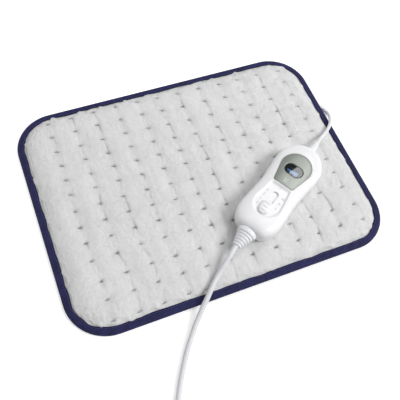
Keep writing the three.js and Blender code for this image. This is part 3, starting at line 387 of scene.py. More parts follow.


# polyester twill tape, woven and dyed navy: fine slanting ribs, a dull thread gloss, and painted shade darkening it
# at the inner lip where it meets the plush
# real ribs are 0.5 mm, drawn 1.1 mm so that they show
def tapeFinish(name):
    material, tree = newFinish(name)
    lay = addNode(tree, "ShaderNodeUVMap", {"uv_map": "lay"})
    slant = addNode(tree, "ShaderNodeMapping", inputs={"Vector": lay, "Rotation": (0, 0, math.radians(52))})
    ribs = addNode(tree, "ShaderNodeTexWave", {"wave_type": "BANDS", "bands_direction": "X"}, {
        "Vector": slant, "Scale": perMm(1.1) / 20 * 2 * math.pi, "Distortion": 0.6, "Detail": 2.0}).outputs["Fac"]
    place = addNode(tree, "ShaderNodeTexCoord").outputs["Object"]
    fade = addNode(tree, "ShaderNodeTexNoise", inputs={
        "Vector": place, "Scale": perMm(9), "Detail": 4.0, "Roughness": 0.6})
    shade = addNode(tree, "ShaderNodeMath", {"operation": "MULTIPLY_ADD"}, {0: ribs, 1: 0.35, 2: fade})
    spread = addNode(tree, "ShaderNodeMapRange", inputs={"Value": shade, "From Min": 0.35, "From Max": 1.0})
    # painted shade: the colour darkens towards the inner lip, where the tape meets the plush
    width = addNode(tree, "ShaderNodeSeparateXYZ", inputs={"Vector": lay}).outputs["X"]
    lipShade = addNode(tree, "ShaderNodeMapRange", inputs={
        "Value": width, "From Min": 0.6 * mm, "From Max": 2.2 * mm, "To Min": 0.25})
    share = addNode(tree, "ShaderNodeMath", {"operation": "MULTIPLY"}, {0: spread, 1: lipShade})
    tint = addNode(tree, "ShaderNodeMix", {"data_type": "RGBA"}, {
        "Factor": share, "A": hexColour("#15152f"), "B": hexColour("#2e2e62")})
    relief = addNode(tree, "ShaderNodeBump", inputs={"Height": ribs, "Strength": 0.4, "Distance": 0.25 * mm})
    body = addNode(tree, "ShaderNodeBsdfPrincipled", inputs={
        "Base Color": tint, "Normal": relief, "Roughness": 0.72, "Specular IOR Level": 0.25,
        "Sheen Weight": 0.08, "Sheen Roughness": 0.4, "Sheen Tint": hexColour("#8c8cc0")})
    addNode(tree, "ShaderNodeOutputMaterial", inputs={"Surface": body})
    return material


# the third colour of each plush is painted shade for the tuft slits and the creases
plushTop = plushFinish("shortPilePlush", "#dbdbdb", "#e9e9e9", "#929295", 1.2)
plushBack = plushFinish("brushedBackPlush", "#c8c8c8", "#d8d8d7", "#8e8e91", 1.6)
twillTape = tapeFinish("navyTwillTape")
# ABS, moulded in a finely polished tool: clean white with soft wide reflections
whiteAbs = mottledFinish("whiteMouldedAbs", "#f0f0f2", "#f5f5f7", 0.7, 0.05, {"Roughness": 0.3, "IOR": 1.53})
# sage paint with fine pearl on moulded ABS: soft satin, tiny bright flakes
sagePaint = mottledFinish("sagePearlPaint", "#7f847d", "#939891", 0.45, 0.12, {
    "Roughness": 0.34, "Metallic": 0.3, "Coat Weight": 0.3, "Coat Roughness": 0.18}, 1.2)
# smoked acrylic, cast and polished: black from outside, the lit display shows through
smokedAcrylic = mottledFinish("smokedAcrylic", "#3c4148", "#434951", 3.0, 0.01, {
    "Roughness": 0.02, "IOR": 1.49, "Transmission Weight": 0.95, "Specular IOR Level": 0.35})
# glass of a liquid crystal display: blue black, smooth
crystalGlass = mottledFinish("displayCellGlass", "#0c1119", "#121a26", 2.0, 0.01, {"Roughness": 0.06, "IOR": 1.52})
# soft PVC, moulded and extruded: white, a little duller than the housing, faint draw marks
softPvc = mottledFinish("extrudedWhitePvc", "#e6e7ea", "#eeeff2", 0.9, 0.1, {"Roughness": 0.42, "IOR": 1.53}, 30)
# PVC sheath of the mains lead, extruded, satin: the same white PVC as the mouldings, painted greyer as painted shade
shadedSheathPvc = mottledFinish("sheathPvcPaintedShade", "#dadbde", "#e2e3e6", 0.9, 0.1, {"Roughness": 0.46, "IOR": 1.53}, 30)
# pad printing ink: flat pale grey with a slightly open edge
printInk = mottledFinish("padPrintInk", "#bfc0c4", "#cbccd0", 0.25, 0.1, {"Roughness": 0.6, "IOR": 1.48}, 1.5)
paleInk = mottledFinish("palePrintInk", "#dfe3dc", "#eceee9", 0.25, 0.1, {"Roughness": 0.55, "IOR": 1.48}, 1.5)
# spun polyester thread: twisted strands, dull
# the grey thread is dark partly as painted shade, standing in for the shadow in the tuft slits
greyThreadAndShade = mottledFinish("greySpunThreadAndShade", "#77777a", "#8b8b8e", 0.3, 0.5, {
    "Roughness": 0.8, "Sheen Weight": 0.2, "Specular IOR Level": 0.3}, 2)
navyThread = mottledFinish("navySpunThread", "#303062", "#454580", 0.3, 0.5, {
    "Roughness": 0.7, "Sheen Weight": 0.2, "Specular IOR Level": 0.3}, 2)
# needled polyester felt: matted fibres, no gloss
needledFelt = mottledFinish("needledFelt", "#d8d5c9", "#ebe8de", 0.8, 0.6, {
    "Roughness": 0.95, "Sheen Weight": 0.3}, 6)
# silicone insulation, extruded: waxy straw colour
siliconeSleeve = mottledFinish("siliconeSleeve", "#bda978", "#cdbb8e", 0.8, 0.1, {"Roughness": 0.5, "IOR": 1.41}, 12)
# glass fibre board under green solder mask: satin, faint weave
solderMask = mottledFinish("greenSolderMask", "#1f5b36", "#2c7347", 0.6, 0.15, {"Roughness": 0.35, "IOR": 1.55}, 5)
# PBT, moulded dark: matt, slightly grainy
darkPbt = mottledFinish("darkMouldedPbt", "#26282c", "#33363a", 0.5, 0.15, {"Roughness": 0.55, "IOR": 1.55})
# zinc plated steel: grey metal with a cloudy passivation
zincSteel = mottledFinish("zincPlatedSteel", "#a9adb2", "#c2c5c8", 0.4, 0.08, {"Roughness": 0.35, "Metallic": 1.0}, 3)
# nickel plated brass pins, turned: bright with fine turning marks
nickelBrass = mottledFinish("nickelPlatedBrass", "#c9c3b2", "#dcd7c8", 0.35, 0.06, {
    "Roughness": 0.22, "Metallic": 1.0}, 4)
# acrylic light guide: milky, clear at the edges
lightGuide = mottledFinish("milkyAcrylic", "#d4dde6", "#e6edf4", 0.8, 0.03, {"Roughness": 0.25, "IOR": 1.49}, 6)
# polypropylene capacitor case: glossy blue
blueCase = mottledFinish("bluePolypropylene", "#2b3475", "#3a4590", 0.6, 0.06, {"Roughness": 0.3, "IOR": 1.49}, 5)
# PVC core insulation: thin dull grey sleeve
corePvc = mottledFinish("coreInsulationPvc", "#45464c", "#56575e", 0.6, 0.08, {"Roughness": 0.5, "IOR": 1.53}, 6)
# hook and loop tie, knitted nylon: black, matted loops
loopNylon = mottledFinish("loopNylonTie", "#191a1d", "#2a2b2f", 0.5, 0.7, {"Roughness": 0.85, "Sheen Weight": 0.4}, 3)

# lit segments of the display: blue light, deep at one end of the row and pale at the other
litBlue, litTree = newFinish("litDisplayBlue")
litRow = addNode(litTree, "ShaderNodeAttribute", {"attribute_name": "along"}).outputs["Fac"]
litPlace = addNode(litTree, "ShaderNodeTexCoord").outputs["Object"]
litDrift = addNode(litTree, "ShaderNodeTexNoise", inputs={"Vector": litPlace, "Scale": perMm(1.5), "Detail": 1.0})
litShare = addNode(litTree, "ShaderNodeMath", {"operation": "MULTIPLY_ADD"}, {0: litDrift, 1: 0.3, 2: litRow})
litTint = addNode(litTree, "ShaderNodeMix", {"data_type": "RGBA"}, {
    "Factor": litShare, "A": hexColour("#2f86cc"), "B": hexColour("#aed6f4")})
litBody = addNode(litTree, "ShaderNodeBsdfPrincipled", inputs={
    "Base Color": hexColour("#1c3448"), "Emission Color": litTint, "Emission Strength": 9.0, "Roughness": 0.4})
addNode(litTree, "ShaderNodeOutputMaterial", inputs={"Surface": litBody})
print("finishes made")


# camera, floor and light

cameraFit = {
    "place": (-183.84, -305.90, 618.51),
    "ahead": (0.24950624, 0.39968492, -0.88204229),
    "right": (0.92509889, -0.36762432, 0.09510208),
    "down": (-0.28624933, -0.8397049, -0.46147264),
    "lens": 51.39, "sensor": 36,
}
eye = bpy.data.cameras.new("photoCamera")
eye.lens = cameraFit["lens"]
eye.sensor_width = cameraFit["sensor"]
camera = bpy.data.objects.new("photoCamera", eye)
aim = Matrix((cameraFit["right"], -Vector(cameraFit["down"]), -Vector(cameraFit["ahead"]))).transposed()
camera.matrix_world = Matrix.Translation(Vector(cameraFit["place"]) * mm) @ aim.to_4x4()
scene.collection.objects.link(camera)
scene.camera = camera

# flat floor, bent up into a backdrop; the glow grows away from the key's side, where the lamps reach less
studio = {"flat": 9000, "bend": 2500, "high": 7000, "around": 96, "bendSteps": 12, "sky": 0.35,
          "glow": 0.34, "farGlow": 0.8, "near": 360, "far": 760, "dimSpot": (300, -300, 0)}
paper, paperTree = newFinish("whitePaperFloor")
paperPlace = addNode(paperTree, "ShaderNodeTexCoord").outputs["Object"]
paperGrain = addNode(paperTree, "ShaderNodeTexNoise", inputs={
    "Vector": paperPlace, "Scale": perMm(40), "Detail": 2.0})
paperTint = addNode(paperTree, "ShaderNodeMix", {"data_type": "RGBA"}, {
    "Factor": paperGrain, "A": hexColour("#f0f0f0"), "B": hexColour("#f4f4f4")})
paperBody = addNode(paperTree, "ShaderNodeBsdfDiffuse", inputs={"Color": paperTint})
# the glow is seen, and lights nothing
rays = addNode(paperTree, "ShaderNodeLightPath").outputs
seen = rays["Is Camera Ray"]
for ray in ("Is Glossy Ray", "Is Transmission Ray"):
    seen = addNode(paperTree, "ShaderNodeMath", {"operation": "MAXIMUM"}, {0: seen, 1: rays[ray]})
paperFar = addNode(paperTree, "ShaderNodeVectorMath", {"operation": "DISTANCE"}, {
    0: paperPlace, 1: Vector(studio["dimSpot"]) * mm})
paperShare = addNode(paperTree, "ShaderNodeMapRange", inputs={
    "Value": paperFar, "From Min": studio["near"] * mm, "From Max": studio["far"] * mm,
    "To Min": studio["glow"], "To Max": studio["farGlow"]})
glow = addNode(paperTree, "ShaderNodeMath", {"operation": "MULTIPLY"}, {0: seen, 1: paperShare})
paperGlow = addNode(paperTree, "ShaderNodeEmission", inputs={"Strength": glow})
paperSum = addNode(paperTree, "ShaderNodeAddShader", inputs={0: paperBody, 1: paperGlow})
addNode(paperTree, "ShaderNodeOutputMaterial", inputs={"Surface": paperSum})
floorTurn = roundTurn(studio["around"])
floorRound = np.column_stack([np.cos(floorTurn), np.sin(floorTurn)])
floorProfile = [(studio["flat"] + studio["bend"] * math.sin(a), studio["bend"] * (1 - math.cos(a)))
                for a in np.linspace(0, math.pi / 2, studio["bendSteps"])]
floorProfile.append((studio["flat"] + studio["bend"], studio["high"]))
floor = loftPiece("studioFloor", [atLevel(away * floorRound, up) for away, up in floorProfile], paper,
                  caps=(True, False))

world = bpy.data.worlds.new("studioWorld")
scene.world = world
world.use_nodes = True
world.node_tree.nodes.clear()
sky = addNode(world.node_tree, "ShaderNodeBackground", inputs={"Color": (1, 1, 1, 1), "Strength": studio["sky"]})
addNode(world.node_tree, "ShaderNodeOutputWorld", inputs={"Surface": sky})

lamps = {
    # place, aim point, size and watts
    "keySoftbox": ((2610, -1740, 3370), (0, -30, 10), 1900, 126.0),
    "windowSoftbox": ((977, 416, 1682), (977, 416, 0), 600, 8.2),
    "fillSoftbox": ((-2600, 1500, 1500), (0, 0, 10), 1500, 12.0),
}
for lampName, (place, target, size, watts) in lamps.items():
    lamp = bpy.data.lights.new(lampName, "AREA")
    lamp.size = size * mm
    lamp.energy = watts
    lampObject = bpy.data.objects.new(lampName, lamp)
    lampObject.location = Vector(place) * mm
    lampObject.rotation_euler = (Vector(target) - Vector(place)).to_track_quat("-Z", "Y").to_euler()
    scene.collection.objects.link(lampObject)
print("camera, floor and lamps set")


# controller's own axes: u along it, v across, z up from its underside

controllerPlace = {"x": 81.7, "y": -55.6, "turn": 31.85, "base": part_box("lower_housing")[0].z / mm}
turnCos = math.cos(math.radians(controllerPlace["turn"]))
turnSin = math.sin(math.radians(controllerPlace["turn"]))


def onController(points):
    u, v, z = np.moveaxis(np.asarray(points, float), -1, 0)
    return np.stack([controllerPlace["x"] + turnCos * u - turnSin * v,
                     controllerPlace["y"] + turnSin * u + turnCos * v, controllerPlace["base"] + z], -1)


def controllerPiece(name, rings, material, **how):
    return loftPiece(name, onController(rings), material, **how)


# mains lead: over the plush and the front edge, along the floor to a wound coil, then its plug

mainsLead = {
    "diameter": 6.0, "sides": 14, "step": 2.4, "straight": 6,
    "exit": (-94.0, 0, 12.15),
    "route": [
        (-8.5, -112.6, 23.8), (-19, -120.6, 20.2), (-29.2, -128.2, 16.8), (-37.9, -135.7, 15.2),
        (-45.5, -143.3, 14), (-51.4, -149.1, 12.5), (-57, -154.2, 10.7), (-63.1, -160.6, 8.3),
        (-70.3, -167.9, 6), (-79.1, -178.5, 4.2), (-87.8, -189, 3.4), (-95.6, -200, 3.2),
        (-102.8, -211.1, 3.2), (-108.9, -221.1, 3.2), (-114.4, -231.1, 3.2), (-119.7, -240.8, 3.3),
        (-125.5, -251.6, 3.7), (-131.2, -262.2, 4.2)],
    "coilCentre": np.array((-101.8, -303.4)), "outer": 45.5, "inner": 26, "turns": 6.4125, "startTurn": 151.5,
    "climb": 0.5, "floor": 4.5, "rise": 6.6, "perTurn": 60,
    "tail": [(-60, -332.6, 9.9), (-51, -330.3, 8.3), (-44, -329.6, 7.3)],
    "plugTip": (-30.7, -329.5, 7),
}


def coilLine(lead):
    # one flat winding inwards, half a turn of climb, one winding outwards on top
    spiral = (lead["turns"] - lead["climb"]) / 2
    rate = (lead["outer"] - lead["inner"]) / spiral
    line = []
    for turn in np.linspace(0, lead["turns"], int(lead["turns"] * lead["perTurn"]) + 1):
        past = min(max(turn - spiral, 0), lead["climb"])
        climb = past / lead["climb"]
        if turn <= spiral + lead["climb"]:
            radius = lead["outer"] - rate * min(turn, spiral) - rate * past * (1 - climb)
        else:
            radius = lead["inner"] + rate * (turn - spiral - lead["climb"])
        angle = math.radians(lead["startTurn"]) + turn * 2 * math.pi
        x, y = lead["coilCentre"] + radius * np.array((math.cos(angle), math.sin(angle)))
        line.append((x, y, lead["floor"] + easeStep(0, 1, climb) * lead["rise"]))
    return np.array(line)


coil = coilLine(mainsLead)
outward = np.array((-turnCos, -turnSin, 0))
bootTip = onController(mainsLead["exit"])
intoCoil, outOfCoil = ((b - a) / np.linalg.norm(b - a) for a, b in (coil[:2], coil[-2:]))
firstStretch = smoothLine(
    [bootTip, bootTip + outward * mainsLead["straight"]] + mainsLead["route"]
    + [coil[0] - intoCoil * mainsLead["straight"], coil[0]])
lastStretch = smoothLine(
    [coil[-1], coil[-1] + outOfCoil * mainsLead["straight"]] + mainsLead["tail"] + [mainsLead["plugTip"]])
mainsLine, mainsRun = evenLine(np.concatenate([firstStretch, coil[1:-1], lastStretch]), mainsLead["step"])
# the mains lead wears the shaded copy of the white PVC, its grey being painted shade
mainsCord = loftPiece("mains_lead", tubeRings(mainsLine, mainsLead["diameter"] / 2, mainsLead["sides"]), shadedSheathPvc)
finishPiece(mainsCord, padBody, "cord_sheath", "mains_cord", "mains_cord_coil", "mains_cord_tail")
print("mains lead", round(mainsRun[-1]), "mm")

# pad lead: a short limp lead from the controller over the right edge into the pad

padLead = {
    "diameter": 4.6, "sides": 14, "step": 1.6, "straight": 4.6,
    "exit": (87.0, 0, 12.15),
    "route": [
        (165.2, -3.3, 22.8), (168.7, -1, 21), (175.7, 3.7, 17.6), (182.3, 8.2, 15.2), (186.9, 11.8, 13.9),
        (190.8, 15.2, 12.8), (195.4, 20.1, 11.2), (198.9, 25.2, 10), (201.6, 30.5, 8.6), (203.6, 35.2, 6.4),
        (205, 39, 4.4)],
    "mouth": np.array((203.6, 46.5, 3.3)), "mouthWay": np.array((-0.371, 0.928, 0)),
}
leadStart = onController(padLead["exit"])
padLine, padRun = evenLine(smoothLine(
    [leadStart, leadStart - outward * padLead["straight"]] + padLead["route"]
    + [padLead["mouth"] - padLead["mouthWay"] * padLead["straight"], padLead["mouth"]]), padLead["step"])
padCord = loftPiece("pad_lead_tube", tubeRings(padLine, padLead["diameter"] / 2, padLead["sides"]), softPvc)
finishPiece(padCord, padBody, "cord_sheath", "pad_lead")
print("pad lead", round(padRun[-1]), "mm")

# plug: flat moulded body with finger grips, on the tail of the mains lead

plug = {
    "around": 48, "grip": [31, 34.4, 37.8, 41.2, 44.6], "gripDeep": 0.55, "neck": [4.2, 7.4, 10.6, 13.8],
    "neckDeep": 0.6, "notch": 0.55, "flatShare": 0.7,
    "cuts": [(0, 2, 5), (2.4, 48, 153), (48.6, 55.5, 8), (56, 59, 9)],  # from, to and how many
    "stations": np.array([  # x, half width, half height, squareness
        (0.0, 3.5, 3.5, 1.0), (0.4, 4.1, 4.1, 1.0), (2.0, 4.3, 4.3, 1.0), (10.0, 4.8, 4.7, 0.95),
        (17.6, 5.8, 5.4, 0.85), (22.0, 8.6, 5.9, 0.72), (29.4, 12.2, 6.8, 0.58), (42.4, 13.5, 6.8, 0.55),
        (50.0, 15.6, 6.8, 0.52), (55.5, 17.4, 6.8, 0.5), (58.0, 17.6, 6.75, 0.48), (58.8, 17.2, 6.4, 0.48),
        (59.0, 16.4, 5.7, 0.48)]),
}


def plugSection(x):
    halfWidth, halfHeight, square = [np.interp(x, plug["stations"][:, 0], row) for row in plug["stations"].T[1:]]
    # finger grips across the body and flex rings on the neck
    notch = (plug["gripDeep"] * sum(bell(x - at, plug["notch"]) for at in plug["grip"])
             + plug["neckDeep"] * sum(bell(x - at, plug["notch"]) for at in plug["neck"]))
    turn = roundTurn(plug["around"], math.pi / plug["around"])
    c, s = (np.sign(part) * np.abs(part) ** square for part in (np.cos(turn), np.sin(turn)))
    return mainsLead["plugTip"] + np.stack([
        np.full(len(turn), x), (halfWidth - notch) * c, (halfHeight - plug["flatShare"] * notch) * s], 1)


plugCuts = np.concatenate([np.linspace(*cut) for cut in plug["cuts"]])
plugPiece = loftPiece("plug_moulding", [plugSection(x) for x in plugCuts], softPvc, sharp=50)
finishPiece(plugPiece, padBody, "cord_sheath", "plug_body")

# plug pins, turned round with domed ends, sleeved next to the plug

pins = {
    "spread": 9.5, "sides": 32,
    "pin": [(28.0, 2.0), (45.9, 2.0), (46.6, 1.88), (47.15, 1.5), (47.48, 0.95), (47.6, 0.35)],  # x and radius
    "sleeve": [(28.0, 1.8), (28.0, 2.12), (37.9, 2.12), (38.3, 2.04), (38.4, 1.9)],
}


def pinPair(name, stations, material):
    points, faces = [], []
    for side in (-1, 1):
        y, z = mainsLead["plugTip"][1] + side * pins["spread"], mainsLead["plugTip"][2]
        addRings(points, faces, [[(x, y + radius * math.cos(t), z + radius * math.sin(t))
                                  for t in roundTurn(pins["sides"])] for x, radius in stations])
    return meshPiece(name, points, faces, material, sharp=40)


pinPiece = pinPair("plug_pins", pins["pin"], nickelBrass)
finishPiece(pinPiece, padBody, "pin_metal", "plug_pin_1", "plug_pin_2")
sleevePiece = pinPair("pin_sleeves", pins["sleeve"], darkPbt)
finishPiece(sleevePiece, padBody, "dark_plastic")

# tie: a band pulled tight round one side of the coil, its free end pressed on top

tie = {
    "angle": math.radians(40), "width": 9, "ease": 0.3, "around": 160, "lap": (27.5, 40.5), "lapThick": 0.8,
    "lapEase": 0.5, "lapFrom": 0.65,
    "section": [(0.0, -0.46), (0.0, 0.46), (0.25, 0.5), (0.65, 0.5),  # height, share of the width
                (0.9, 0.46), (0.9, -0.46), (0.65, -0.5), (0.25, -0.5)],
}
tieWay = np.array((math.cos(tie["angle"]), math.sin(tie["angle"])))
tieSide = np.array((-tieWay[1], tieWay[0]))
fromMiddle = coil[:, :2] - mainsLead["coilCentre"]
offTie, alongTie = fromMiddle.dot(tieSide), fromMiddle.dot(tieWay)
tieTurns = [(alongTie[k], coil[k, 2]) for k in range(len(coil) - 1)
            if offTie[k] <= 0 < offTie[k + 1] and alongTie[k] > 0]


def tieSection(grow):
    outline = hullOf([(away, level, mainsLead["diameter"] / 2 + tie["ease"] + grow) for away, level in tieTurns])
    middle = np.mean(tieTurns, axis=0)
    flat = polarLine(outline, middle, roundTurn(tie["around"], -math.pi))
    start, end = tie["lap"]
    lap = easeStep(start, start + tie["lapEase"], flat[:, 0]) * (1 - easeStep(end - tie["lapEase"], end, flat[:, 0]))
    flat[:, 1] += np.where(flat[:, 1] > middle[1], lap, 0) * tie["lapThick"] * min(grow / tie["lapFrom"], 1)
    return flat


tieRings = []
for grow, side in tie["section"]:
    flat = tieSection(grow)
    across = mainsLead["coilCentre"] + np.outer(flat[:, 0], tieWay) + side * tie["width"] * tieSide
    tieRings.append(np.column_stack([across, flat[:, 1]]))
tiePiece = loftPiece("coil_band", tieRings, loopNylon, wrap=True)
finishPiece(tiePiece, padBody, "tie", "coil_tie")

# gland: a soft collar round the lead that flattens into the seam of the pad's edge

gland = {
    "route": [(203.6, 46.5, 3.3), (201.6, 51.5, 3.3), (198, 55.8, 3.3), (192.5, 59, 3.3), (186, 60.8, 3.3)],
    "before": 1.4, "step": 0.3, "sides": 32, "collar": 2.8, "halfWidth": 3.0, "halfHeight": 1.9,
    "flatten": (1.5, 7.0), "grooves": [2.6, 4.0, 5.4], "deep": 0.45, "wide": 0.3, "lip": 0.5, "lipLong": 0.6,
}
glandLine, glandRun = evenLine(smoothLine(
    [padLead["mouth"] - padLead["mouthWay"] * gland["before"]] + gland["route"]), gland["step"])
glandTurn = roundTurn(gland["sides"])
glandRings = []
for point, way, run in zip(glandLine, headings(glandLine), glandRun):
    share = easeStep(*gland["flatten"], run)
    sink = sum(gland["deep"] * bell(run - at, gland["wide"]) for at in gland["grooves"])
    sink += gland["lip"] * (1 - easeStep(0, gland["lipLong"], run))
    halfWidth, halfHeight = (gland["collar"] + (gland[side] - gland["collar"]) * share - sink
                             for side in ("halfWidth", "halfHeight"))
    glandRings.append(point + np.column_stack([
        -way[1] * halfWidth * np.cos(glandTurn), way[0] * halfWidth * np.cos(glandTurn),
        halfHeight * np.sin(glandTurn)]))
glandPiece = loftPiece("lead_gland", glandRings, softPvc, sharp=55)
finishPiece(glandPiece, padBody, "cord_sheath", "pad_lead_gland")

# pad: plush cover, tufted through, bound with tape

pad = {"length": 400, "width": 300, "corner": 50}
tufts = {
    # each row's place and its shift along, each column's place and its drift across, as the cover was fed
    "rows": [(-136.5, 1.0), (-111.7, 2.3), (-89.0, 2.0), (-63.2, -1.3), (-40.4, -1.5), (-18.9, -1.5), (2.6, -0.8),
             (25.4, 0.3), (46.0, 0.3), (66.9, 0.3), (87.8, 0.3), (110.6, 0.1), (132.0, 0.0)],
    "columns": [(-155.6, 0.3), (-125.8, 0.5), (-96.9, 1.3), (-67.4, 0.9), (-38.3, -0.4), (-10.7, -2.5),
                (17.1, -4.7), (47.3, -5.1), (76.1, -6.5), (104.0, -6.6), (134.0, -6.5), (165.0, -8.0)],
    "edgeGap": 3.0, "lean": [(-120, 0.12), (-40, -0.1), (40, -0.34)],  # slant of the slits by their place across
    "seed": 11, "wobble": 0.35, "strength": (0.75, 1.15), "leanSpread": 0.07,
}
plush = {
    "edge": 9.2, "rim": 6.3, "crown": 12.0, "shoulder": 17, "round": 2.6, "sideRound": 1.5, "lattice": (172, 128),
    "inner": 7, "pull": 0.4, "pullX": 6.5, "pullY": 4.5, "slit": 1.7, "slitX": 2.7, "slitY": 1.0,
    # one share in this row paints shade along the creases
    "furrow": 0.5, "furrowWide": 4.5, "crease": 0.55, "creaseWide": 0.8, "creaseOff": 2.0, "creaseShade": 0.45,
    "roll": 0.15, "waver": 2.0, "backWaver": 0.8, "waverWide": 6, "ruffle": 0.2, "rightFade": 0.35,
    "reach": (26, 22), "markReach": (12, 8),  # how far a tuft is felt along and across
    # where these come in, along or across the pad
    "fadeFrom": (40, 150), "ruffleFrom": (40, 130), "ruffleBack": (-10, 80), "waverBack": (60, 130),
    # size and seed of each slow unevenness
    "lineNoise": (50, 5), "creaseNoise": (24, 7), "rollNoise": (30, 3), "ruffleNoise": (13, 41),
    "waverNoise": (13, 31), "lineSway": 0.8, "creaseMean": 0.15, "creaseSpread": 0.95, "creaseMost": 1.3,
    "waverMean": 0.5, "waverSpread": 0.6,
    # painted shade at a tuft, where the pile is pressed into the slit, as a dark end, a fainter tail and a halo:
    # depth, shift, half length and half width
    "pressedAndShade": [(0.9, 1.2, 1.3, 0.9), (0.5, -1.4, 1.9, 0.75), (0.12, 0, 5, 3)],
    "hems": [(9.3, 5.2), (1.6, 5.15), (1.6, 3.5), (12, 3.5), (12, 7.8)],  # inset from the pad's edge, height
}
back = {"edge": 9.3, "lattice": (79, 59), "dimple": 0.9, "dimpleX": 5, "dimpleY": 4, "cap": 1.2,
        "hems": [(9.2, 1.4), (1.6, 1.45), (1.6, 3.1)]}


def pastCore(x, y):
    # how far past the inner rectangle that the corners turn round
    return np.abs(x) - pad["length"] / 2 + pad["corner"], np.abs(y) - pad["width"] / 2 + pad["corner"]


def offCore(x, y):
    # the way out from that rectangle, zero inside it
    dx, dy = pastCore(x, y)
    return np.sign(x) * np.maximum(dx, 0), np.sign(y) * np.maximum(dy, 0)


def edgeGap(x, y, inset):
    away = np.minimum(np.maximum(*pastCore(x, y)), 0) + np.hypot(*offCore(x, y))
    return pad["corner"] - inset - away


def padLattice(counts, inset):
    halfX, halfY = pad["length"] / 2 - inset, pad["width"] / 2 - inset
    x, y = np.meshgrid(np.linspace(-halfX, halfX, counts[0]), np.linspace(-halfY, halfY, counts[1]), indexing="ij")
    dx, dy = pastCore(x, y)
    corner = (dx > 0) & (dy > 0)
    pullIn = np.where(corner, 1 - np.maximum(dx, dy) / np.maximum(np.hypot(dx, dy), 1e-9), 0)
    return x - np.sign(x) * dx * pullIn, y - np.sign(y) * dy * pullIn


def tuftSpots():
    pick = np.random.default_rng(tufts["seed"])
    spots = []
    for columnX, drift in tufts["columns"]:
        for rowY, shift in tufts["rows"]:
            x, y = columnX + shift, rowY + drift
            wobble = pick.normal(0, tufts["wobble"], 2)
            strength = pick.uniform(*tufts["strength"])
            lean = np.interp(y, *zip(*tufts["lean"])) + pick.normal(0, tufts["leanSpread"])
            if edgeGap(x, y, plush["edge"]) > tufts["edgeGap"]:
                spots.append((x + wobble[0], y + wobble[1], strength, lean))
    return spots


def slowNoise(x, y, size, seed, waves=14):
    # smooth seeded unevenness, about -1 to 1
    pick = np.random.default_rng(seed)
    total = np.zeros_like(x, float)
    for k in range(waves):
        way = pick.uniform(0, 2 * math.pi)
        wave = 2 * math.pi / (size * pick.uniform(0.7, 1.8))
        total += np.sin((x * math.cos(way) + y * math.sin(way)) * wave + pick.uniform(0, 2 * math.pi))
    return total / waves ** 0.5 / 1.2


tuftList = tuftSpots()


def columnGap(x, y, off):
    # distance to the nearest line of tufts
    line = x - off - np.interp(y, *zip(*tufts["rows"])) + plush["lineSway"] * slowNoise(x, y, *plush["lineNoise"])
    return np.min(np.abs(line[..., None] - np.array(tufts["columns"])[:, 0]), axis=-1)


def creaseDepth(x, y):
    # thin folds between the tufts of a column, deep in some places and gone in others
    share = plush["creaseMean"] + plush["creaseSpread"] * slowNoise(x, y, *plush["creaseNoise"])
    share = np.clip(share, 0, plush["creaseMost"])
    return share * bell(columnGap(x, y, plush["creaseOff"]), plush["creaseWide"])


def nearTuft(dx, dy, reach):
    return (np.abs(dx) < reach[0]) & (np.abs(dy) < reach[1])


def plushHeight(x, y, fine):
    gap = edgeGap(x, y, plush["edge"])
    rise = np.clip(gap / plush["shoulder"], 0, 1)
    # the short sides rise more gently, as their first tufts lie farther from the tape
    outX, outY = offCore(x, y)
    sideways = outX ** 2 / np.maximum(outX ** 2 + outY ** 2, 1e-9)
    curve = plush["round"] + (plush["sideRound"] - plush["round"]) * sideways
    z = plush["rim"] + (plush["crown"] - plush["rim"]) * (1 - (1 - rise) ** curve)
    inner = easeStep(0, plush["inner"], gap)
    dip, slit = np.zeros_like(x), np.zeros_like(x)
    for tx, ty, strength, lean in tuftList:
        near = nearTuft(x - tx, y - ty, plush["reach"])
        dx, dy = x[near] - tx, y[near] - ty
        dip[near] += strength * bell(dx, plush["pullX"]) * bell(dy, plush["pullY"])
        slit[near] += strength * bell((dx / plush["slitX"]) ** 2, 1) * bell(dy - lean * dx, plush["slitY"])
    furrow = bell(columnGap(x, y, 0), plush["furrowWide"])
    z -= inner * (plush["pull"] * dip + plush["furrow"] * furrow)
    z += inner * plush["roll"] * slowNoise(x, y, *plush["rollNoise"])
    if fine:
        z -= inner * (plush["slit"] * slit + plush["crease"] * creaseDepth(x, y))
    return z


def plushPressedAndShade(x, y):
    # where the sewing lays the pile flat, darkened as painted shade: at each tuft, and a little along the creases as
    # painted shade in the folds
    share = plush["creaseShade"] * creaseDepth(x, y) * easeStep(0, plush["inner"], edgeGap(x, y, plush["edge"]))
    for tx, ty, strength, lean in tuftList:
        near = nearTuft(x - tx, y - ty, plush["markReach"])
        dx, dy = x[near] - tx, y[near] - ty
        mark = sum(deep * bell(dx - shift, long) * bell(dy - lean * dx, wide)
                   for deep, shift, long, wide in plush["pressedAndShade"])
        share[near] += strength * (1 - plush["rightFade"] * easeStep(*plush["fadeFrom"], tx)) * mark
    # towards the right, most at the back, the pile is ruffled: it hides the tufts and shows darker ground in patches
    ruffled = easeStep(*plush["ruffleFrom"], x) * (0.5 + 0.5 * easeStep(*plush["ruffleBack"], y))
    share += plush["ruffle"] * ruffled * np.clip(slowNoise(x, y, *plush["ruffleNoise"]), 0, 1)
    return np.clip(share, 0, 1)


def gridPoints(*fields):
    return np.stack([field.ravel() for field in fields], 1)


def gridFaces(counts, flip=False):
    quads = [(a, a + counts[1], a + counts[1] + 1, a + 1)
             for i in range(counts[0] - 1) for a in range(i * counts[1], (i + 1) * counts[1] - 1)]
    return [quad[::-1] for quad in quads] if flip else quads


def gridRim(counts):
    nx, ny = counts
    return ([i * ny for i in range(nx)] + [(nx - 1) * ny + j for j in range(1, ny)]
            + [i * ny + ny - 1 for i in range(nx - 2, -1, -1)] + list(range(ny - 2, 0, -1)))


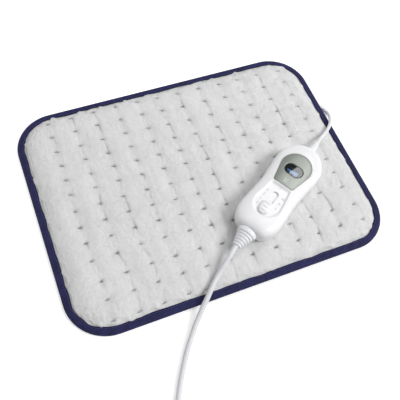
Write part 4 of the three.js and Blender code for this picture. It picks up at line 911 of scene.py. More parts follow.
cloth = {
    "heldEdge": 1.5, "heldTuft": 2.0, "heldLong": 1.5, "steps": 20, "cap": 0.8,
    "settings": {
        "quality": 5, "mass": 0.0015, "tension_stiffness": 2.0, "compression_stiffness": 2.0, "shear_stiffness": 0.6,
        "bending_stiffness": 0.004, "air_damping": 2.0, "use_pressure": True, "uniform_pressure_force": 4,
        "shrink_min": -0.004, "vertex_group_mass": "sewn"},
}


def clothSwell(x, y, z):
    # the padding pushes the cover up between the tufts, which hold it down with the sewn edge
    flat = gridPoints(x, y, z)
    held = edgeGap(flat[:, 0], flat[:, 1], plush["edge"]) < cloth["heldEdge"]
    for tx, ty, strength, lean in tuftList:
        held |= np.hypot((flat[:, 0] - tx) / cloth["heldLong"], flat[:, 1] - ty) < cloth["heldTuft"]
    blank = meshPiece("plushBlank", flat, gridFaces(x.shape), plushTop, sharp=80, tidy=False)
    blank.vertex_groups.new(name="sewn").add(np.nonzero(held)[0].tolist(), 1.0, "REPLACE")
    swell = blank.modifiers.new("swell", "CLOTH")
    for key, value in cloth["settings"].items():
        setattr(swell.settings, key, value)
    swell.settings.effector_weights.gravity = 0
    swell.collision_settings.use_collision = False
    swell.point_cache.frame_start = 1
    swell.point_cache.frame_end = cloth["steps"]
    for step in range(1, cloth["steps"] + 1):
        scene.frame_set(step)
    shown = blank.evaluated_get(bpy.context.evaluated_depsgraph_get())
    moved = np.empty(len(flat) * 3)
    shown.data.vertices.foreach_get("co", moved)
    moved = moved.reshape(-1, 3) / mm - flat
    size = np.linalg.norm(moved, axis=1)
    most, middle = (round(float(part), 2) for part in (size.max(), np.median(size)))
    print("cloth moved", most, "mm at most,", middle, "in the middle")
    moved *= np.minimum(1, cloth["cap"] / np.maximum(size, 1e-9))[:, None]
    scene.frame_set(1)
    bpy.data.objects.remove(blank)
    return moved.reshape(x.shape + (3,))


def finer(field):
    # the lattice at twice the count, smooth between its points
    for axis in (0, 1):
        f = np.moveaxis(field, axis, 0)
        wide = np.concatenate([f[:1], f, f[-1:]])
        out = np.empty((2 * len(f) - 1,) + f.shape[1:])
        out[::2] = f
        out[1::2] = (9 * (f[:-1] + f[1:]) - wide[:-3] - wide[3:]) / 16
        field = np.moveaxis(out, 0, axis)
    return field


latticeX, latticeY = padLattice([2 * n - 1 for n in plush["lattice"]], plush["edge"])
topZ = plushHeight(latticeX, latticeY, True)
topPressedAndShade = plushPressedAndShade(latticeX, latticeY)
topGap = edgeGap(latticeX, latticeY, plush["edge"])
# the rim wavers along the tape, more at the back, where the last tufts pull it in
outX, outY = offCore(latticeX, latticeY)
waver = plush["waverMean"] + plush["waverSpread"] * slowNoise(latticeX, latticeY, *plush["waverNoise"])
waver *= -plush["waver"] * (1 - easeStep(0, plush["waverWide"], topGap))
waver *= 1 + plush["backWaver"] * easeStep(*plush["waverBack"], latticeY)
waver /= np.maximum(np.hypot(outX, outY), 1e-9)
latticeX, latticeY = latticeX + waver * outX, latticeY + waver * outY
coarse = padLattice(plush["lattice"], plush["edge"])
swelling = finer(clothSwell(*coarse, plushHeight(*coarse, False)))
latticeX, latticeY, topZ = (part + swelling[..., k] for k, part in enumerate((latticeX, latticeY, topZ)))


def quiltPiece(name, fields, hems, material, flip=False):
    # a worked face, closed behind by a hem ring and a flat lining
    points = gridPoints(*fields)
    faces = gridFaces(fields[0].shape, flip)
    rim = gridRim(fields[0].shape)
    rimLine = points[rim, :2]
    out = np.stack(offCore(*rimLine.T), 1)
    out /= np.maximum(np.linalg.norm(out, axis=1), 1e-9)[:, None]
    rimGap = edgeGap(*rimLine.T, 0)
    loops = [rim]
    for inset, level in hems:
        loops.append(list(range(len(points), len(points) + len(rim))))
        points = np.concatenate([points, atLevel(rimLine + out * (rimGap - inset)[:, None], level)])
    for one, two in zip(loops, loops[1:]):
        quads = zip(one, two, np.roll(two, -1).tolist(), np.roll(one, -1).tolist())
        faces += [quad[::-1] if flip else quad for quad in quads]
    faces.append(tuple(loops[-1]) if flip else tuple(reversed(loops[-1])))
    return meshPiece(name, points, faces, material, sharp=80, tidy=False)


plushPiece = quiltPiece("plush_top", (latticeX, latticeY, topZ), plush["hems"], plushTop)
# the plush carries the painted shade of its tufts and creases as an attribute
hidden = len(plushPiece.data.vertices) - topPressedAndShade.size
setFloats(plushPiece.data, "pressedAndShade", np.pad(topPressedAndShade.ravel(), (0, hidden)))
finishPiece(plushPiece, padBody, "plush", "top_cover")

backX, backY = padLattice(back["lattice"], back["edge"])
backZ = sum(back["dimple"] * strength * bell(backX - tx, back["dimpleX"]) * bell(backY - ty, back["dimpleY"])
            for tx, ty, strength, lean in tuftList)
backZ = np.minimum(backZ, back["cap"])
backPiece = quiltPiece("plush_back", (backX, backY, backZ), back["hems"], plushBack, flip=True)
finishPiece(backPiece, padBody, "plush", "bottom_cover")
print("plush made")

# tape folded over the edge, a little uneven where it was sewn

tape = {
    "stations": 720, "wave": 0.6, "underShare": 0.3, "middle": 3, "lip": (4, 9), "puff": 0.16, "puffFrom": (5.6, 6.4),
    "waveNoise": (26, 21), "puffNoise": (9, 22),  # size and seed
    "profile": [  # inset from the edge, height
        (9.2, 6.15), (8.9, 6.5), (8.0, 6.62), (6.5, 6.6), (4.8, 6.6), (3.4, 6.5), (2.3, 6.2), (1.4, 5.6), (0.6, 4.75),
        (0.1, 3.8), (0.05, 2.8), (0.5, 1.8), (1.3, 0.95), (2.3, 0.4), (3.5, 0.08), (5.0, 0.0), (8.0, 0.0), (8.9, 0.1),
        (9.2, 0.5), (8.6, 1.05), (5.0, 1.1), (2.9, 1.3), (1.7, 2.2), (1.15, 3.3), (1.7, 4.4), (2.9, 5.3), (5.0, 5.5),
        (8.6, 5.55)],
}


def padEdge(count):
    # points round the pad's outline, evenly spaced, with the outward way
    corner = pad["corner"]
    straights = (pad["width"] - 2 * corner, pad["length"] - 2 * corner) * 2
    arc = math.pi / 2 * corner
    spots = np.linspace(0, sum(straights) + 4 * arc, count, endpoint=False)
    points, ways = [], []
    for run in spots:
        for side, straight in enumerate(straights):
            if run <= straight + arc:
                break
            run -= straight + arc
        out = pad["length"] / 2 if side % 2 == 0 else pad["width"] / 2
        bend = max(run - straight, 0) / corner
        px = out - corner + corner * math.cos(bend)
        py = -straight / 2 + min(run, straight) + corner * math.sin(bend)
        turn = side * math.pi / 2
        c, s = round(math.cos(turn)), round(math.sin(turn))
        points.append((px * c - py * s, px * s + py * c))
        ways.append((math.cos(turn + bend), math.sin(turn + bend)))
    return np.array(points), np.array(ways), spots


edgePoints, edgeWays, edgeRun = padEdge(tape["stations"])
tapeWaver, pucker = (slowNoise(*edgePoints.T, *tape[noise]) for noise in ("waveNoise", "puffNoise"))
tapeRings = []
for inset, level in tape["profile"]:
    lip = easeStep(*tape["lip"], inset) * (1 if level > tape["middle"] else tape["underShare"])
    depth = inset + lip * tape["wave"] * tapeWaver
    height = level + tape["puff"] * pucker * easeStep(*tape["puffFrom"], level)
    tapeRings.append(np.column_stack([edgePoints - edgeWays * depth[:, None], np.maximum(height, 0)]))
tapePiece = loftPiece("binding_tape", tapeRings, twillTape, wrap=True, sharp=70)
ringUv(tapePiece, tape["stations"], runOf(np.array(tape["profile"] + tape["profile"][:1])),
       np.append(edgeRun, edgeRun[-1] + edgeRun[1]))
finishPiece(tapePiece, padBody, "binding_tape", "edge_binding")
print("tape folded")


def arcBar(tree, start, middle, end, radius, steps, sides):
    # a round bar along a bent line, closed at its ends
    arc = addNode(tree, "GeometryNodeCurveQuadraticBezier", inputs={
        "Resolution": steps, "Start": start, "Middle": middle, "End": end})
    section = addNode(tree, "GeometryNodeCurvePrimitiveCircle", inputs={"Resolution": sides, "Radius": radius})
    return addNode(tree, "GeometryNodeCurveToMesh", inputs={
        "Curve": arc, "Profile Curve": section, "Fill Caps": True})


def threadBar(tree, sizes, steps, sides=6):
    # one short thread along x, arched over its middle
    ends = []
    for share in (-0.5, 0.5):
        reach = addNode(tree, "ShaderNodeMath", {"operation": "MULTIPLY"}, {0: sizes["Length"], 1: share})
        ends.append(addNode(tree, "ShaderNodeCombineXYZ", inputs={"X": reach}))
    middle = addNode(tree, "ShaderNodeCombineXYZ", inputs={"Z": sizes["Arch"]})
    return arcBar(tree, ends[0], middle, ends[1], sizes["Radius"], steps, sides)


# lockstitch along the tape, one thread loop after another

stitches = {"inset": 7.3, "level": 6.62, "pitch": 3.2, "length": 2.5, "radius": 0.24, "arch": 0.3, "waverShare": 0.6,
            "steps": 5}
seamDepth = stitches["inset"] + stitches["waverShare"] * tape["wave"] * tapeWaver
seamLine = atLevel(edgePoints - edgeWays * seamDepth[:, None], stitches["level"])
seamMesh = bpy.data.meshes.new("tape_stitches")
seamMesh.from_pydata((seamLine * mm).tolist(), [(k, (k + 1) % len(seamLine)) for k in range(len(seamLine))], [])
seamSizes = inMetres(stitches, "pitch", "length", "radius", "arch")
seamTree, seamIn = startTree("tapeStitches", seamSizes)
seamCurve = addNode(seamTree, "GeometryNodeMeshToCurve", inputs={"Mesh": seamIn["Base"]})
seamDots = addNode(seamTree, "GeometryNodeResampleCurve", {"mode": "LENGTH"}, {
    "Curve": seamCurve, "Length": seamIn["Pitch"]})
seamTurn = addNode(seamTree, "FunctionNodeAlignRotationToVector", {"axis": "X"}, {
    "Vector": addNode(seamTree, "GeometryNodeInputTangent")})
seamSet = addNode(seamTree, "GeometryNodeInstanceOnPoints", inputs={
    "Points": seamDots, "Instance": threadBar(seamTree, seamIn, stitches["steps"]), "Rotation": seamTurn})
endTree(seamTree, seamSet, navyThread)
seamPiece = growPiece(linkMesh("tape_stitches", seamMesh, navyThread), seamTree, seamSizes)
finishPiece(seamPiece, padBody, "binding_tape")

# tuft threads: a short tight bar of thread sunk in each tuft, its dark grey partly painted shade of the slit

tuftThread = {"length": 4.4, "radius": 0.35, "arch": 0.2, "lift": 0.15, "steps": 6}
tuftPoints = []
for tx, ty, strength, lean in tuftList:
    near = np.argmin((latticeX - tx) ** 2 + (latticeY - ty) ** 2)
    tuftPoints.append((tx * mm, ty * mm, (topZ.ravel()[near] + tuftThread["lift"]) * mm))
tuftMesh = bpy.data.meshes.new("tuft_threads")
tuftMesh.from_pydata(tuftPoints, [], [])
setFloats(tuftMesh, "turn", [math.atan(lean) for tx, ty, strength, lean in tuftList])
tuftSizes = inMetres(tuftThread, "length", "radius", "arch")
tuftTree, tuftIn = startTree("tuftThreads", tuftSizes)
tuftTurn = addNode(tuftTree, "GeometryNodeInputNamedAttribute", {"data_type": "FLOAT"}, {"Name": "turn"})
tuftSpin = addNode(tuftTree, "ShaderNodeCombineXYZ", inputs={"Z": tuftTurn})
tuftWay = addNode(tuftTree, "FunctionNodeEulerToRotation", inputs={"Euler": tuftSpin})
tuftSet = addNode(tuftTree, "GeometryNodeInstanceOnPoints", inputs={
    "Points": tuftIn["Base"], "Instance": threadBar(tuftTree, tuftIn, tuftThread["steps"]), "Rotation": tuftWay})
endTree(tuftTree, tuftSet, greyThreadAndShade)
tuftPiece = growPiece(linkMesh("tuft_threads", tuftMesh, greyThreadAndShade), tuftTree, tuftSizes)
finishPiece(tuftPiece, padBody, "plush")

# pile: short tapered locks leaning the way the plush was brushed

pile = {"density": 0.42, "length": 0.95, "radius": 0.95, "sink": 0.3, "spread": 0.3, "lean": 0.35, "spin": 3.1,
        "scale": (0.6, 1.3), "sides": 4, "seed": 4, "bare": (0.15, 0.45), "start": (-0.8, 0.8)}
pileBase = meshPiece("plush_pile", gridPoints(latticeX, latticeY, topZ), gridFaces(latticeX.shape), plushTop,
                     sharp=80, tidy=False)
grown = (1 - easeStep(*pile["bare"], topPressedAndShade)) * easeStep(*pile["start"], topGap)
setFloats(pileBase.data, "grown", grown.ravel())
pileSizes = {"Density": pile["density"] / mm ** 2, **inMetres(pile, "length", "radius", "sink"),
             "Spread": pile["spread"], "Lean": pile["lean"], "Seed": pile["seed"]}
pileTree, pileIn = startTree("plushPile", pileSizes)
pileGrown = addNode(pileTree, "GeometryNodeInputNamedAttribute", {"data_type": "FLOAT"}, {"Name": "grown"})
pileThick = addNode(pileTree, "ShaderNodeMath", {"operation": "MULTIPLY"}, {0: pileIn["Density"], 1: pileGrown})
pileDots = addNode(pileTree, "GeometryNodeDistributePointsOnFaces", {"distribute_method": "RANDOM"}, {
    "Mesh": pileIn["Base"], "Density": pileThick, "Seed": pileIn["Seed"]})
pileCloth = addNode(pileTree, "GeometryNodeStoreNamedAttribute", {"data_type": "FLOAT_VECTOR", "domain": "POINT"}, {
    "Geometry": pileDots, "Name": "clothNormal", "Value": pileDots.outputs["Normal"]})
pileLock = addNode(pileTree, "GeometryNodeMeshCone", {"fill_type": "NONE"}, {
    "Vertices": pile["sides"], "Radius Top": 0.0, "Radius Bottom": pileIn["Radius"], "Depth": pileIn["Length"]})
pileDown = addNode(pileTree, "ShaderNodeMath", {"operation": "MULTIPLY"}, {0: pileIn["Sink"], 1: -1.0})
pileUnder = addNode(pileTree, "ShaderNodeCombineXYZ", inputs={"Z": pileDown})
pileRoot = addNode(pileTree, "GeometryNodeTransform", inputs={"Geometry": pileLock, "Translation": pileUnder})
pileLimits = []
for way in (-1.0, 1.0):
    swing = addNode(pileTree, "ShaderNodeMath", {"operation": "MULTIPLY"}, {0: pileIn["Spread"], 1: way})
    tip = addNode(pileTree, "ShaderNodeMath", {"operation": "ADD"}, {0: pileIn["Lean"], 1: swing})
    pileLimits.append(addNode(pileTree, "ShaderNodeCombineXYZ", inputs={
        "X": tip, "Y": swing, "Z": way * pile["spin"]}))
pileTilt = addNode(pileTree, "FunctionNodeRandomValue", {"data_type": "FLOAT_VECTOR"}, {
    "Min": pileLimits[0], "Max": pileLimits[1], "Seed": pileIn["Seed"]})
pileWay = addNode(pileTree, "FunctionNodeEulerToRotation", inputs={"Euler": pileTilt})
pileGrow = addNode(pileTree, "FunctionNodeRandomValue", {"data_type": "FLOAT"}, {"Seed": pileIn["Seed"]})
pileGrow.inputs[2].default_value, pileGrow.inputs[3].default_value = pile["scale"]
pileSet = addNode(pileTree, "GeometryNodeInstanceOnPoints", inputs={
    "Points": pileCloth, "Instance": pileRoot, "Rotation": pileWay, "Scale": pileGrow})
endTree(pileTree, pileSet, plushTop)
pilePiece = growPiece(pileBase, pileTree, pileSizes)
finishPiece(pilePiece, padBody, "plush")
print("pile", len(pilePiece.data.polygons), "faces")


# controller housing

shell = {
    "around": 220, "long": 70, "halfWidth": 29.5, "lip": (12.3, 12.9, 13.7), "shoulder": 14.5, "rise": 11.5,
    "power": 3.0, "endDraw": 0.55, "endPower": 7, "bend": 0.62, "crown": 0.985, "wall": 1.6, "endHalf": 12,
    "plan": [  # curves of one side, from the mains end to the nose, and their steps
        ((-70, 12), (-70, 22.8), (-56.8, 28.3), (-46, 28.3), 60),
        ((-46, 28.3), (-30.8, 28.3), (-23.2, 26.5), (-8, 26.5), 40),
        ((-8, 26.5), (10.4, 26.5), (19.6, 29.5), (38, 29.5), 40),
        ((38, 29.5), (55.92, 29.5), (70, 16.225), (70, 0), 80)],
    "endSteps": 8, "fineAround": 1200, "bendSteps": 26, "crownSteps": 84, "cut": (15, 30),
    "under": (12.0, 11.0, 9.5, 8.0), "underDraw": (5, 8), "underSteps": 12,
}
dish = {"centre": -32.8, "big": 18, "flat": -1.7, "half": 13.5, "corner": 2.5, "floor": 23.5, "run": 2.8, "rim": -0.5}
slot = {"centre": -27.1, "length": 30.2, "width": 8.5}
panel = {
    "centre": 30.8, "big": 19.8, "flat": -0.2, "half": 14.1, "corner": 2.9, "proud": 0.1, "thick": 1.1, "gap": 0.22,
    "under": 0.12, "clear": 4, "around": 200,  # the pocket goes deeper than the panel, its cutter clears the skin
    "outer": [(0, -1.1), (0, -0.3), (0.09, -0.08), (0.3, 0)],  # step in from the edge, height
    "face": np.linspace(0.12, 0.88, 9), "inner": [(0.75, 0), (0.3, -0.12), (0, -0.4), (0, -1.1)],
}
window = {"centre": 24.9, "long": 24.2, "wide": 15.4, "sunk": 0.12, "thick": 1.1, "gap": 0.15, "ledge": 1.2,
          "edge": 0.35}
screws = {
    "spots": [(u, v) for u in (-50, 50) for v in (-15.5, 15.5)],
    "pillar": (5.0, 0.6, 8.0), "well": (3.2, -2, 3.3), "bore": (1.75, 0, 9),  # radius, lower and upper end
}


def bezier(a, b, c, d, count):
    t = np.linspace(0, 1, count, endpoint=False)[:, None]
    a, b, c, d = (np.array(q, float) for q in (a, b, c, d))
    return a * (1 - t) ** 3 + 3 * b * t * (1 - t) ** 2 + 3 * c * t * t * (1 - t) + d * t ** 3


def housingPlan(count):
    endSpots = np.linspace(0, shell["endHalf"], shell["endSteps"], endpoint=False)
    upper = np.concatenate([np.stack([np.full(shell["endSteps"], -float(shell["long"])), endSpots], 1)]
                           + [bezier(*curve) for curve in shell["plan"]] + [[(shell["long"], 0)]])
    whole = np.concatenate([upper[::-1], upper[1:] * (1, -1)])
    run = runOf(whole)
    spots = np.linspace(0, run[-1], count, endpoint=False)
    return np.stack([np.interp(spots, run, whole[:, k]) for k in (0, 1)], 1)


plan = housingPlan(shell["around"])
planTop = housingPlan(shell["fineAround"])
planTop = planTop[planTop[:, 1] >= 0]
planTop = planTop[np.argsort(planTop[:, 0])]


def endScale(s):
    draw = shell["endDraw"] * shell["halfWidth"]
    return 1 - (draw * s + (shell["long"] - draw) * s ** shell["endPower"]) / shell["long"]


def domeHeight(s):
    p = shell["power"]
    return shell["shoulder"] + shell["rise"] * np.maximum(1 - (1 - s) ** p, 0) ** (1 / p)


def domeAt(u, v):
    # height of the upper housing's skin over a point of its plan
    low, high = np.zeros_like(u, float), np.ones_like(u, float)
    for halving in range(40):
        s = (low + high) / 2
        wide = np.interp(u / np.maximum(endScale(s), 1e-6), planTop[:, 0], planTop[:, 1], left=-1, right=-1)
        inside = np.abs(v) < wide * (1 - s)
        low, high = np.where(inside, s, low), np.where(inside, high, s)
    return domeHeight((low + high) / 2)


def onDome(line, lift):
    return np.column_stack([line, domeAt(line[:, 0], line[:, 1]) + lift])


def tearLine(form, grow):
    way = 1 if form["flat"] > form["centre"] else -1
    small = form["corner"]
    return hullOf([(form["centre"], 0, form["big"] + grow)] + [
        (form["flat"] - way * small, side * (form["half"] - small), small + grow) for side in (1, -1)])


def stadiumLine(centre, alongU, alongV, grow):
    small = min(alongU, alongV)
    u, v = (alongU - small) / 2, (alongV - small) / 2
    return hullOf([(centre - u, -v, small / 2 + grow), (centre + u, v, small / 2 + grow)])


def upperShell():
    # rings from the parting line over the shoulder to the crown, the thumb dish pressed in
    s = 1 - np.cos(np.linspace(0, shell["bend"], shell["bendSteps"])) ** (2 / shell["power"])
    s = np.concatenate([s, np.linspace(s[-1], shell["crown"], shell["crownSteps"])[1:]])
    rings = [atLevel(plan, z) for z in shell["lip"]]
    rings += [atLevel(plan * (endScale(k), 1 - k), domeHeight(k)) for k in s]
    rings = np.array(rings)
    flat = rings.reshape(-1, 3)
    sink = easeStep(dish["rim"], dish["run"], signedGap(flat[:, :2], tearLine(dish, 0)))
    flat[:, 2] = np.where(flat[:, 2] > dish["floor"], flat[:, 2] * (1 - sink) + dish["floor"] * sink, flat[:, 2])
    return flat.reshape(rings.shape)


def lowerShell():
    rings = [atLevel(plan, z) for z in shell["under"]]
    full = np.array((shell["long"], shell["halfWidth"]))
    for a in np.linspace(0, math.pi / 2, shell["underSteps"])[1:]:
        shrink = 1 - np.array(shell["underDraw"]) * (1 - math.cos(a)) / full
        rings.append(atLevel(plan * shrink, shell["under"][-1] * (1 - math.sin(a))))
    return np.array(rings)


def drapedDisc(name, outline, centre, low, high, material, edge=0.0, around=160, soft=0.3):
    # a plate that follows the dome, low and high above the skin, with a softened upper edge
    rim = polarLine(outline, centre, roundTurn(around, -math.pi)) - centre
    size = np.linalg.norm(rim, axis=1)
    shares = [0.04, 0.25, 0.45, 0.62, 0.76, 0.87, 0.95]
    steps = [(k, low) for k in shares + [1]]
    if edge:
        steps += [(1, high - edge), (1 - soft * edge / size, high - soft * edge)]
    steps += [(1 - edge / size, high)] + [(k, high) for k in reversed(shares)]
    rings = [onDome(centre + rim * np.broadcast_to(share, around)[:, None], lift) for share, lift in steps]
    return controllerPiece(name, rings, material, sharp=50)


def prism(name, outline, low, high):
    return controllerPiece(name, [atLevel(outline, z) for z in (low, high)], whiteAbs, sharp=30)


def wallPiece(name, rings):
    # a moulded shell: its skin, thickened inwards
    piece = controllerPiece(name, rings, whiteAbs, caps=(False, True), sharp=60)
    wall = piece.modifiers.new("wall", "SOLIDIFY")
    wall.thickness = shell["wall"] * mm
    wall.offset = -1
    return bake(piece)


def windowLine(grow):
    return stadiumLine(window["centre"], window["wide"], window["long"], grow)


windowMiddle = np.array((window["centre"], 0))
upperPiece = wallPiece("upper_shell", upperShell())
carve(upperPiece, [
    drapedDisc("pocket", tearLine(panel, panel["gap"]), windowMiddle, -panel["thick"] - panel["under"],
               panel["clear"], whiteAbs),
    prism("sight", windowLine(-window["ledge"]), *shell["cut"]),
    prism("slit", stadiumLine(slot["centre"], slot["length"], slot["width"], 0), *shell["cut"])])
smoothShade(upperPiece.data, 40)
finishPiece(upperPiece, padBody, "white_housing", "upper_housing")
print("upper shell", len(upperPiece.data.polygons), "faces")


def screwPrisms(name):
    radius, low, high = screws[name]
    return [prism(name, hullOf([(u, v, radius)]), low, high) for u, v in screws["spots"]]


lowerPiece = wallPiece("lower_shell", lowerShell())
carve(lowerPiece, screwPrisms("pillar"), "UNION")
carve(lowerPiece, screwPrisms("well") + screwPrisms("bore"))
smoothShade(lowerPiece.data, 40)
finishPiece(lowerPiece, padBody, "white_housing", "lower_housing")
print("lower shell", len(lowerPiece.data.polygons), "faces")

# display panel, its window and the lit display

panelTurn = roundTurn(panel["around"], -math.pi)
outerLine = polarLine(tearLine(panel, 0), windowMiddle, panelTurn)
innerLine = polarLine(windowLine(0), windowMiddle, panelTurn)
gapSize = np.linalg.norm(outerLine - innerLine, axis=1)
panelSteps = ([(step / gapSize, lift) for step, lift in panel["outer"]]
              + [(np.full(panel["around"], share), 0) for share in panel["face"]]
              + [(1 - step / gapSize, lift) for step, lift in panel["inner"]])
panelRings = [onDome(outerLine + (innerLine - outerLine) * share[:, None], panel["proud"] + lift)
              for share, lift in panelSteps]
panelPiece = controllerPiece("sage_panel", panelRings, sagePaint, wrap=True, sharp=50)
finishPiece(panelPiece, padBody, "panel", "display_panel")

windowPiece = drapedDisc("smoked_window", windowLine(-window["gap"]), windowMiddle, -window["thick"] - window["sunk"],
                         -window["sunk"], smokedAcrylic, edge=window["edge"])
finishPiece(windowPiece, padBody, "window", "display_window")

# heat sign printed below the window: three rising waves over a bar

heatSign = {"u": 6.4, "v": 0.4, "long": 3.8, "pitch": 1.75, "sway": 0.42, "stroke": 0.42, "barU": 5.2, "barHalf": 2.9,
            "proud": 0.03, "thick": 0.06, "waveSteps": 25, "barSteps": 9}
rising = np.linspace(0, 1, heatSign["waveSteps"])
signLines = [np.stack([heatSign["u"] + rising * heatSign["long"],
                       heatSign["v"] + k * heatSign["pitch"] + heatSign["sway"] * np.sin(rising * 2 * math.pi)], 1)
             for k in (-1, 0, 1)]
signBar = np.linspace(-1, 1, heatSign["barSteps"]) * heatSign["barHalf"]
signLines.append(np.stack([np.full(len(signBar), heatSign["barU"]), heatSign["v"] + signBar], 1))
signPoints, signFaces = [], []
for line in signLines:
    # a flat ribbon of ink along the line
    way = headings(line)
    side = np.stack([-way[:, 1], way[:, 0]], 1) * heatSign["stroke"] / 2
    skin = panel["proud"] + heatSign["proud"]
    low, high = skin - heatSign["thick"], skin
    addRings(signPoints, signFaces, np.stack([
        onDome(line + side, low), onDome(line - side, low), onDome(line - side, high), onDome(line + side, high)], 1))
signPiece = meshPiece("heat_sign", onController(signPoints), signFaces, paleInk, sharp=30)
finishPiece(signPiece, padBody, "panel")

lit = {"level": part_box("display_glass")[1].z / mm - controllerPlace["base"] + 0.06,  # just over the glass
       "thick": 0.12, "corner": 0.25, "bars": 7, "pitch": 2.1, "bar": 1.75, "high": (5.4, 2.4), "u": 24.1, "v": 0.7,
       "skip": 6}
litPoints, litFaces, litAlong = [], [], []
for k in range(lit["bars"]):
    v0 = lit["v"] + (k - (lit["bars"] - 1) / 2) * lit["pitch"]
    halfU = np.interp(k, (0, lit["bars"] - 1), lit["high"]) / 2 - lit["corner"]
    halfV = lit["bar"] / 2 - lit["corner"]
    outline = hullOf([(lit["u"] + a * halfU, v0 + b * halfV, lit["corner"]) for a in (-1, 1) for b in (-1, 1)])
    outline = outline[::lit["skip"]]  # fewer points are enough
    addRings(litPoints, litFaces, [atLevel(outline, lit["level"] + lift) for lift in (0, lit["thick"])])
    litAlong += [1 - k / (lit["bars"] - 1)] * 2 * len(outline)
litPiece = meshPiece("lit_bars", onController(litPoints), litFaces, litBlue, sharp=30, tidy=False)
setFloats(litPiece.data, "along", litAlong)
finishPiece(litPiece, padBody, "display_glass")
print("display made")

# slide knob: a low rounded cap on a stem, three finger ribs across it

knob = {
    "centre": -38, "length": 19.4, "width": 14, "around": 96, "stem": (7.8, 7.5), "stemLevels": (17.5, 20.0, 23.8),
    "cap": [(0.5, 23.8), (0.1, 24.05), (0, 24.5), (0.15, 25.4), (0.45, 25.95), (0.95, 26.35), (1.7, 26.6),
            (2.8, 26.72), (4.6, 26.78), (6.6, 26.8)],  # inset and height
    "ribs": 3, "pitch": 4.9, "ribWide": 1.5, "ribLong": 8.8, "ribLevel": 26.7, "sink": -0.45, "crest": 0.6,
    "ribSteps": 14, "ribSides": 14,
}


def knobRing(long, wide, inset, z):
    outline = stadiumLine(knob["centre"], long, wide, -inset)
    return atLevel(polarLine(outline, np.array((knob["centre"], 0)), roundTurn(knob["around"], -math.pi)), z)


knobRings = [knobRing(*knob["stem"], 0, z) for z in knob["stemLevels"]]
knobRings += [knobRing(knob["length"], knob["width"], inset, z) for inset, z in knob["cap"]]
knobPiece = controllerPiece("knob_cap", knobRings, whiteAbs, sharp=50)

ribSizes = {"Count": knob["ribs"], "Step": Vector((turnCos, turnSin, 0)) * mm * knob["pitch"],
            "Half": Vector((-turnSin, turnCos, 0)) * mm * knob["ribLong"] / 2,
            **inMetres(knob, "sink", "crest"), "Radius": knob["ribWide"] / 2 * mm}
ribTree, ribIn = startTree("knobRibs", ribSizes)
ribRow = addNode(ribTree, "GeometryNodeMeshLine", {"mode": "OFFSET"}, {
    "Count": ribIn["Count"], "Offset": ribIn["Step"]})
ribLow, ribHigh = (addNode(ribTree, "ShaderNodeCombineXYZ", inputs={"Z": ribIn[label]})
                   for label in ("Sink", "Crest"))
ribFrom, ribTo = (addNode(ribTree, "ShaderNodeVectorMath", {"operation": way}, {0: ribLow, 1: ribIn["Half"]})
                  for way in ("SUBTRACT", "ADD"))
ribBar = arcBar(ribTree, ribFrom, ribHigh, ribTo, ribIn["Radius"], knob["ribSteps"], knob["ribSides"])
ribSet = addNode(ribTree, "GeometryNodeInstanceOnPoints", inputs={"Points": ribRow, "Instance": ribBar})
endTree(ribTree, ribSet, whiteAbs)
ribPiece = growPiece(linkMesh("knob_ribs", bpy.data.meshes.new("knob_ribs"), whiteAbs), ribTree, ribSizes)
firstRib = onController((knob["centre"] - knob["pitch"], 0, knob["ribLevel"])) * mm
ribPiece.data.transform(Matrix.Translation(Vector(firstRib)))
print("knob made")


# numerals and level marks printed in the dish

marks = {"size": 5.67, "level": dish["floor"] + 0.015, "thick": 0.05, "numeralV": 11.1,
         "numerals": [("0", -38.1), ("1", -31.2), ("2", -23.2), ("3", -16.3)],
         "levelV": -10.8, "levels": [(-31.7, 1), (-23.7, 2), (-15.8, 3)], "step": 1.3, "dash": 0.9, "dashHalf": 0.42,
         "skip": 12}
markPoints, markFaces = [], []
for text, u in marks["numerals"]:
    letter = bpy.data.curves.new("numeral", "FONT")
    letter.body = text
    letter.size = marks["size"]
    letter.align_x = "CENTER"
    letter.align_y = "CENTER"
    letter.resolution_u = 3
    letter.extrude = marks["thick"] / 2
    letterObject = bpy.data.objects.new("numeral", letter)
    scene.collection.objects.link(letterObject)
    bpy.context.view_layer.update()
    flat = bpy.data.meshes.new_from_object(letterObject.evaluated_get(bpy.context.evaluated_depsgraph_get()))
    markFaces += [tuple(len(markPoints) + i for i in f.vertices) for f in flat.polygons]
    # numerals stand with their tops towards the window
    markPoints += [(u + p.co.y, marks["numeralV"] - p.co.x, marks["level"] + marks["thick"] / 2 + p.co.z)
                   for p in flat.vertices]
    bpy.data.objects.remove(letterObject)
for u, count in marks["levels"]:
    for k in range(count):
        v = marks["levelV"] + (k - (count - 1) / 2) * marks["step"]
        outline = hullOf([(u + way * marks["dash"], v, marks["dashHalf"]) for way in (-1, 1)])[::marks["skip"]]
        addRings(markPoints, markFaces, [atLevel(outline, marks["level"] + lift) for lift in (0, marks["thick"])])
markPiece = meshPiece("printed_marks", onController(markPoints), markFaces, printInk, sharp=30)
finishPiece(markPiece, padBody, "white_housing")

# ribbed strain relief on the mains side, plain cone on the pad side

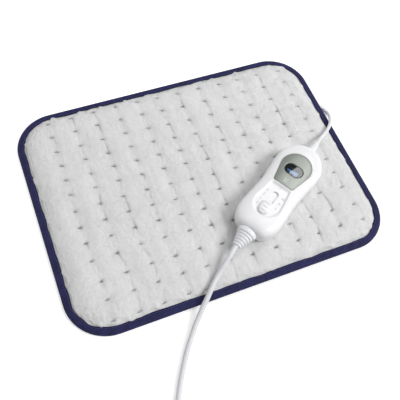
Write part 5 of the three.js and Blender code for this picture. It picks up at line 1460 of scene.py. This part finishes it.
boot = {
    "axis": 12.15, "tip": -94, "ribs": 5, "tipHalf": 5.4, "baseHalf": 11.3, "collarFrom": -76, "groove": 1.5,
    "flat": 0.76, "around": 72, "mouth": [(-94, 3.0), (-94, 4.6), (-93.75, 5.1)],  # place along and half width
    # one rib and its groove: share of the pitch, share of the depth
    "rib": [(0.12, 0), (0.3, 0), (0.48, 0), (0.56, 0.12), (0.6, 0.5), (0.64, 1), (0.9, 1), (0.94, 0.5), (0.98, 0.12)],
    "collar": [(-75.9, 11.5), (-75.5, 11.9), (-74.6, 12.1), (-71.0, 12.2), (-70.2, 12.0)],
}
cone = {"around": 48, "flat": 1.0, "stations": [
    (70.2, 6.6), (70.6, 6.35), (71.2, 6.1), (72.4, 5.85), (75, 5.45), (79, 4.95), (83, 4.4), (86.2, 4.0), (86.8, 3.8),
    (87.0, 3.4), (87.0, 2.4)]}


def reliefPiece(name, form, stations):
    turn = roundTurn(form["around"])
    return controllerPiece(name, [np.column_stack([
        np.full(len(turn), u), half * np.cos(turn), boot["axis"] + half * form["flat"] * np.sin(turn)])
        for u, half in stations], softPvc, sharp=55)


bootLong = boot["collarFrom"] - boot["tip"]
bootRibs = []
for k in range(boot["ribs"]):
    for share, sink in boot["rib"]:
        along = (k + share) / boot["ribs"]
        half = boot["tipHalf"] + (boot["baseHalf"] - boot["tipHalf"]) * along
        bootRibs.append((boot["tip"] + along * bootLong, half - sink * boot["groove"]))
bootPiece = reliefPiece("ribbed_relief", boot, boot["mouth"] + bootRibs + boot["collar"])
finishPiece(bootPiece, padBody, "cord_sheath", "mains_strain_relief")
conePiece = reliefPiece("lead_relief", cone, cone["stations"])
finishPiece(conePiece, padBody, "cord_sheath", "pad_lead_relief")
print("reliefs made")

finishPiece(knobPiece, knobBody, "white_housing", "slide_knob")
finishPiece(ribPiece, knobBody, "white_housing")

# finishes of the solids that stay as they are

kept = [
    (needledFelt, "heater_carrier"), (siliconeSleeve, "heating_wire"), (whiteAbs, "junction_block slide_shutter"),
    (zincSteel, "thermal_cutout mains_fuse housing_screw_1 housing_screw_2 housing_screw_3 housing_screw_4"),
    (crystalGlass, "display_glass"), (lightGuide, "backlight_plate"), (solderMask, "circuit_board"),
    (darkPbt, "display_frame switch_body switch_lever mains_terminal pad_terminal triac control_chip"),
    (blueCase, "film_capacitor"), (corePvc, "mains_core_live mains_core_neutral pad_core_feed pad_core_return"),
]
for material, names in kept:
    for name in names.split():
        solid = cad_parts[name].data
        for k in range(len(solid.materials)):
            solid.materials[k] = material
print("solids finished")
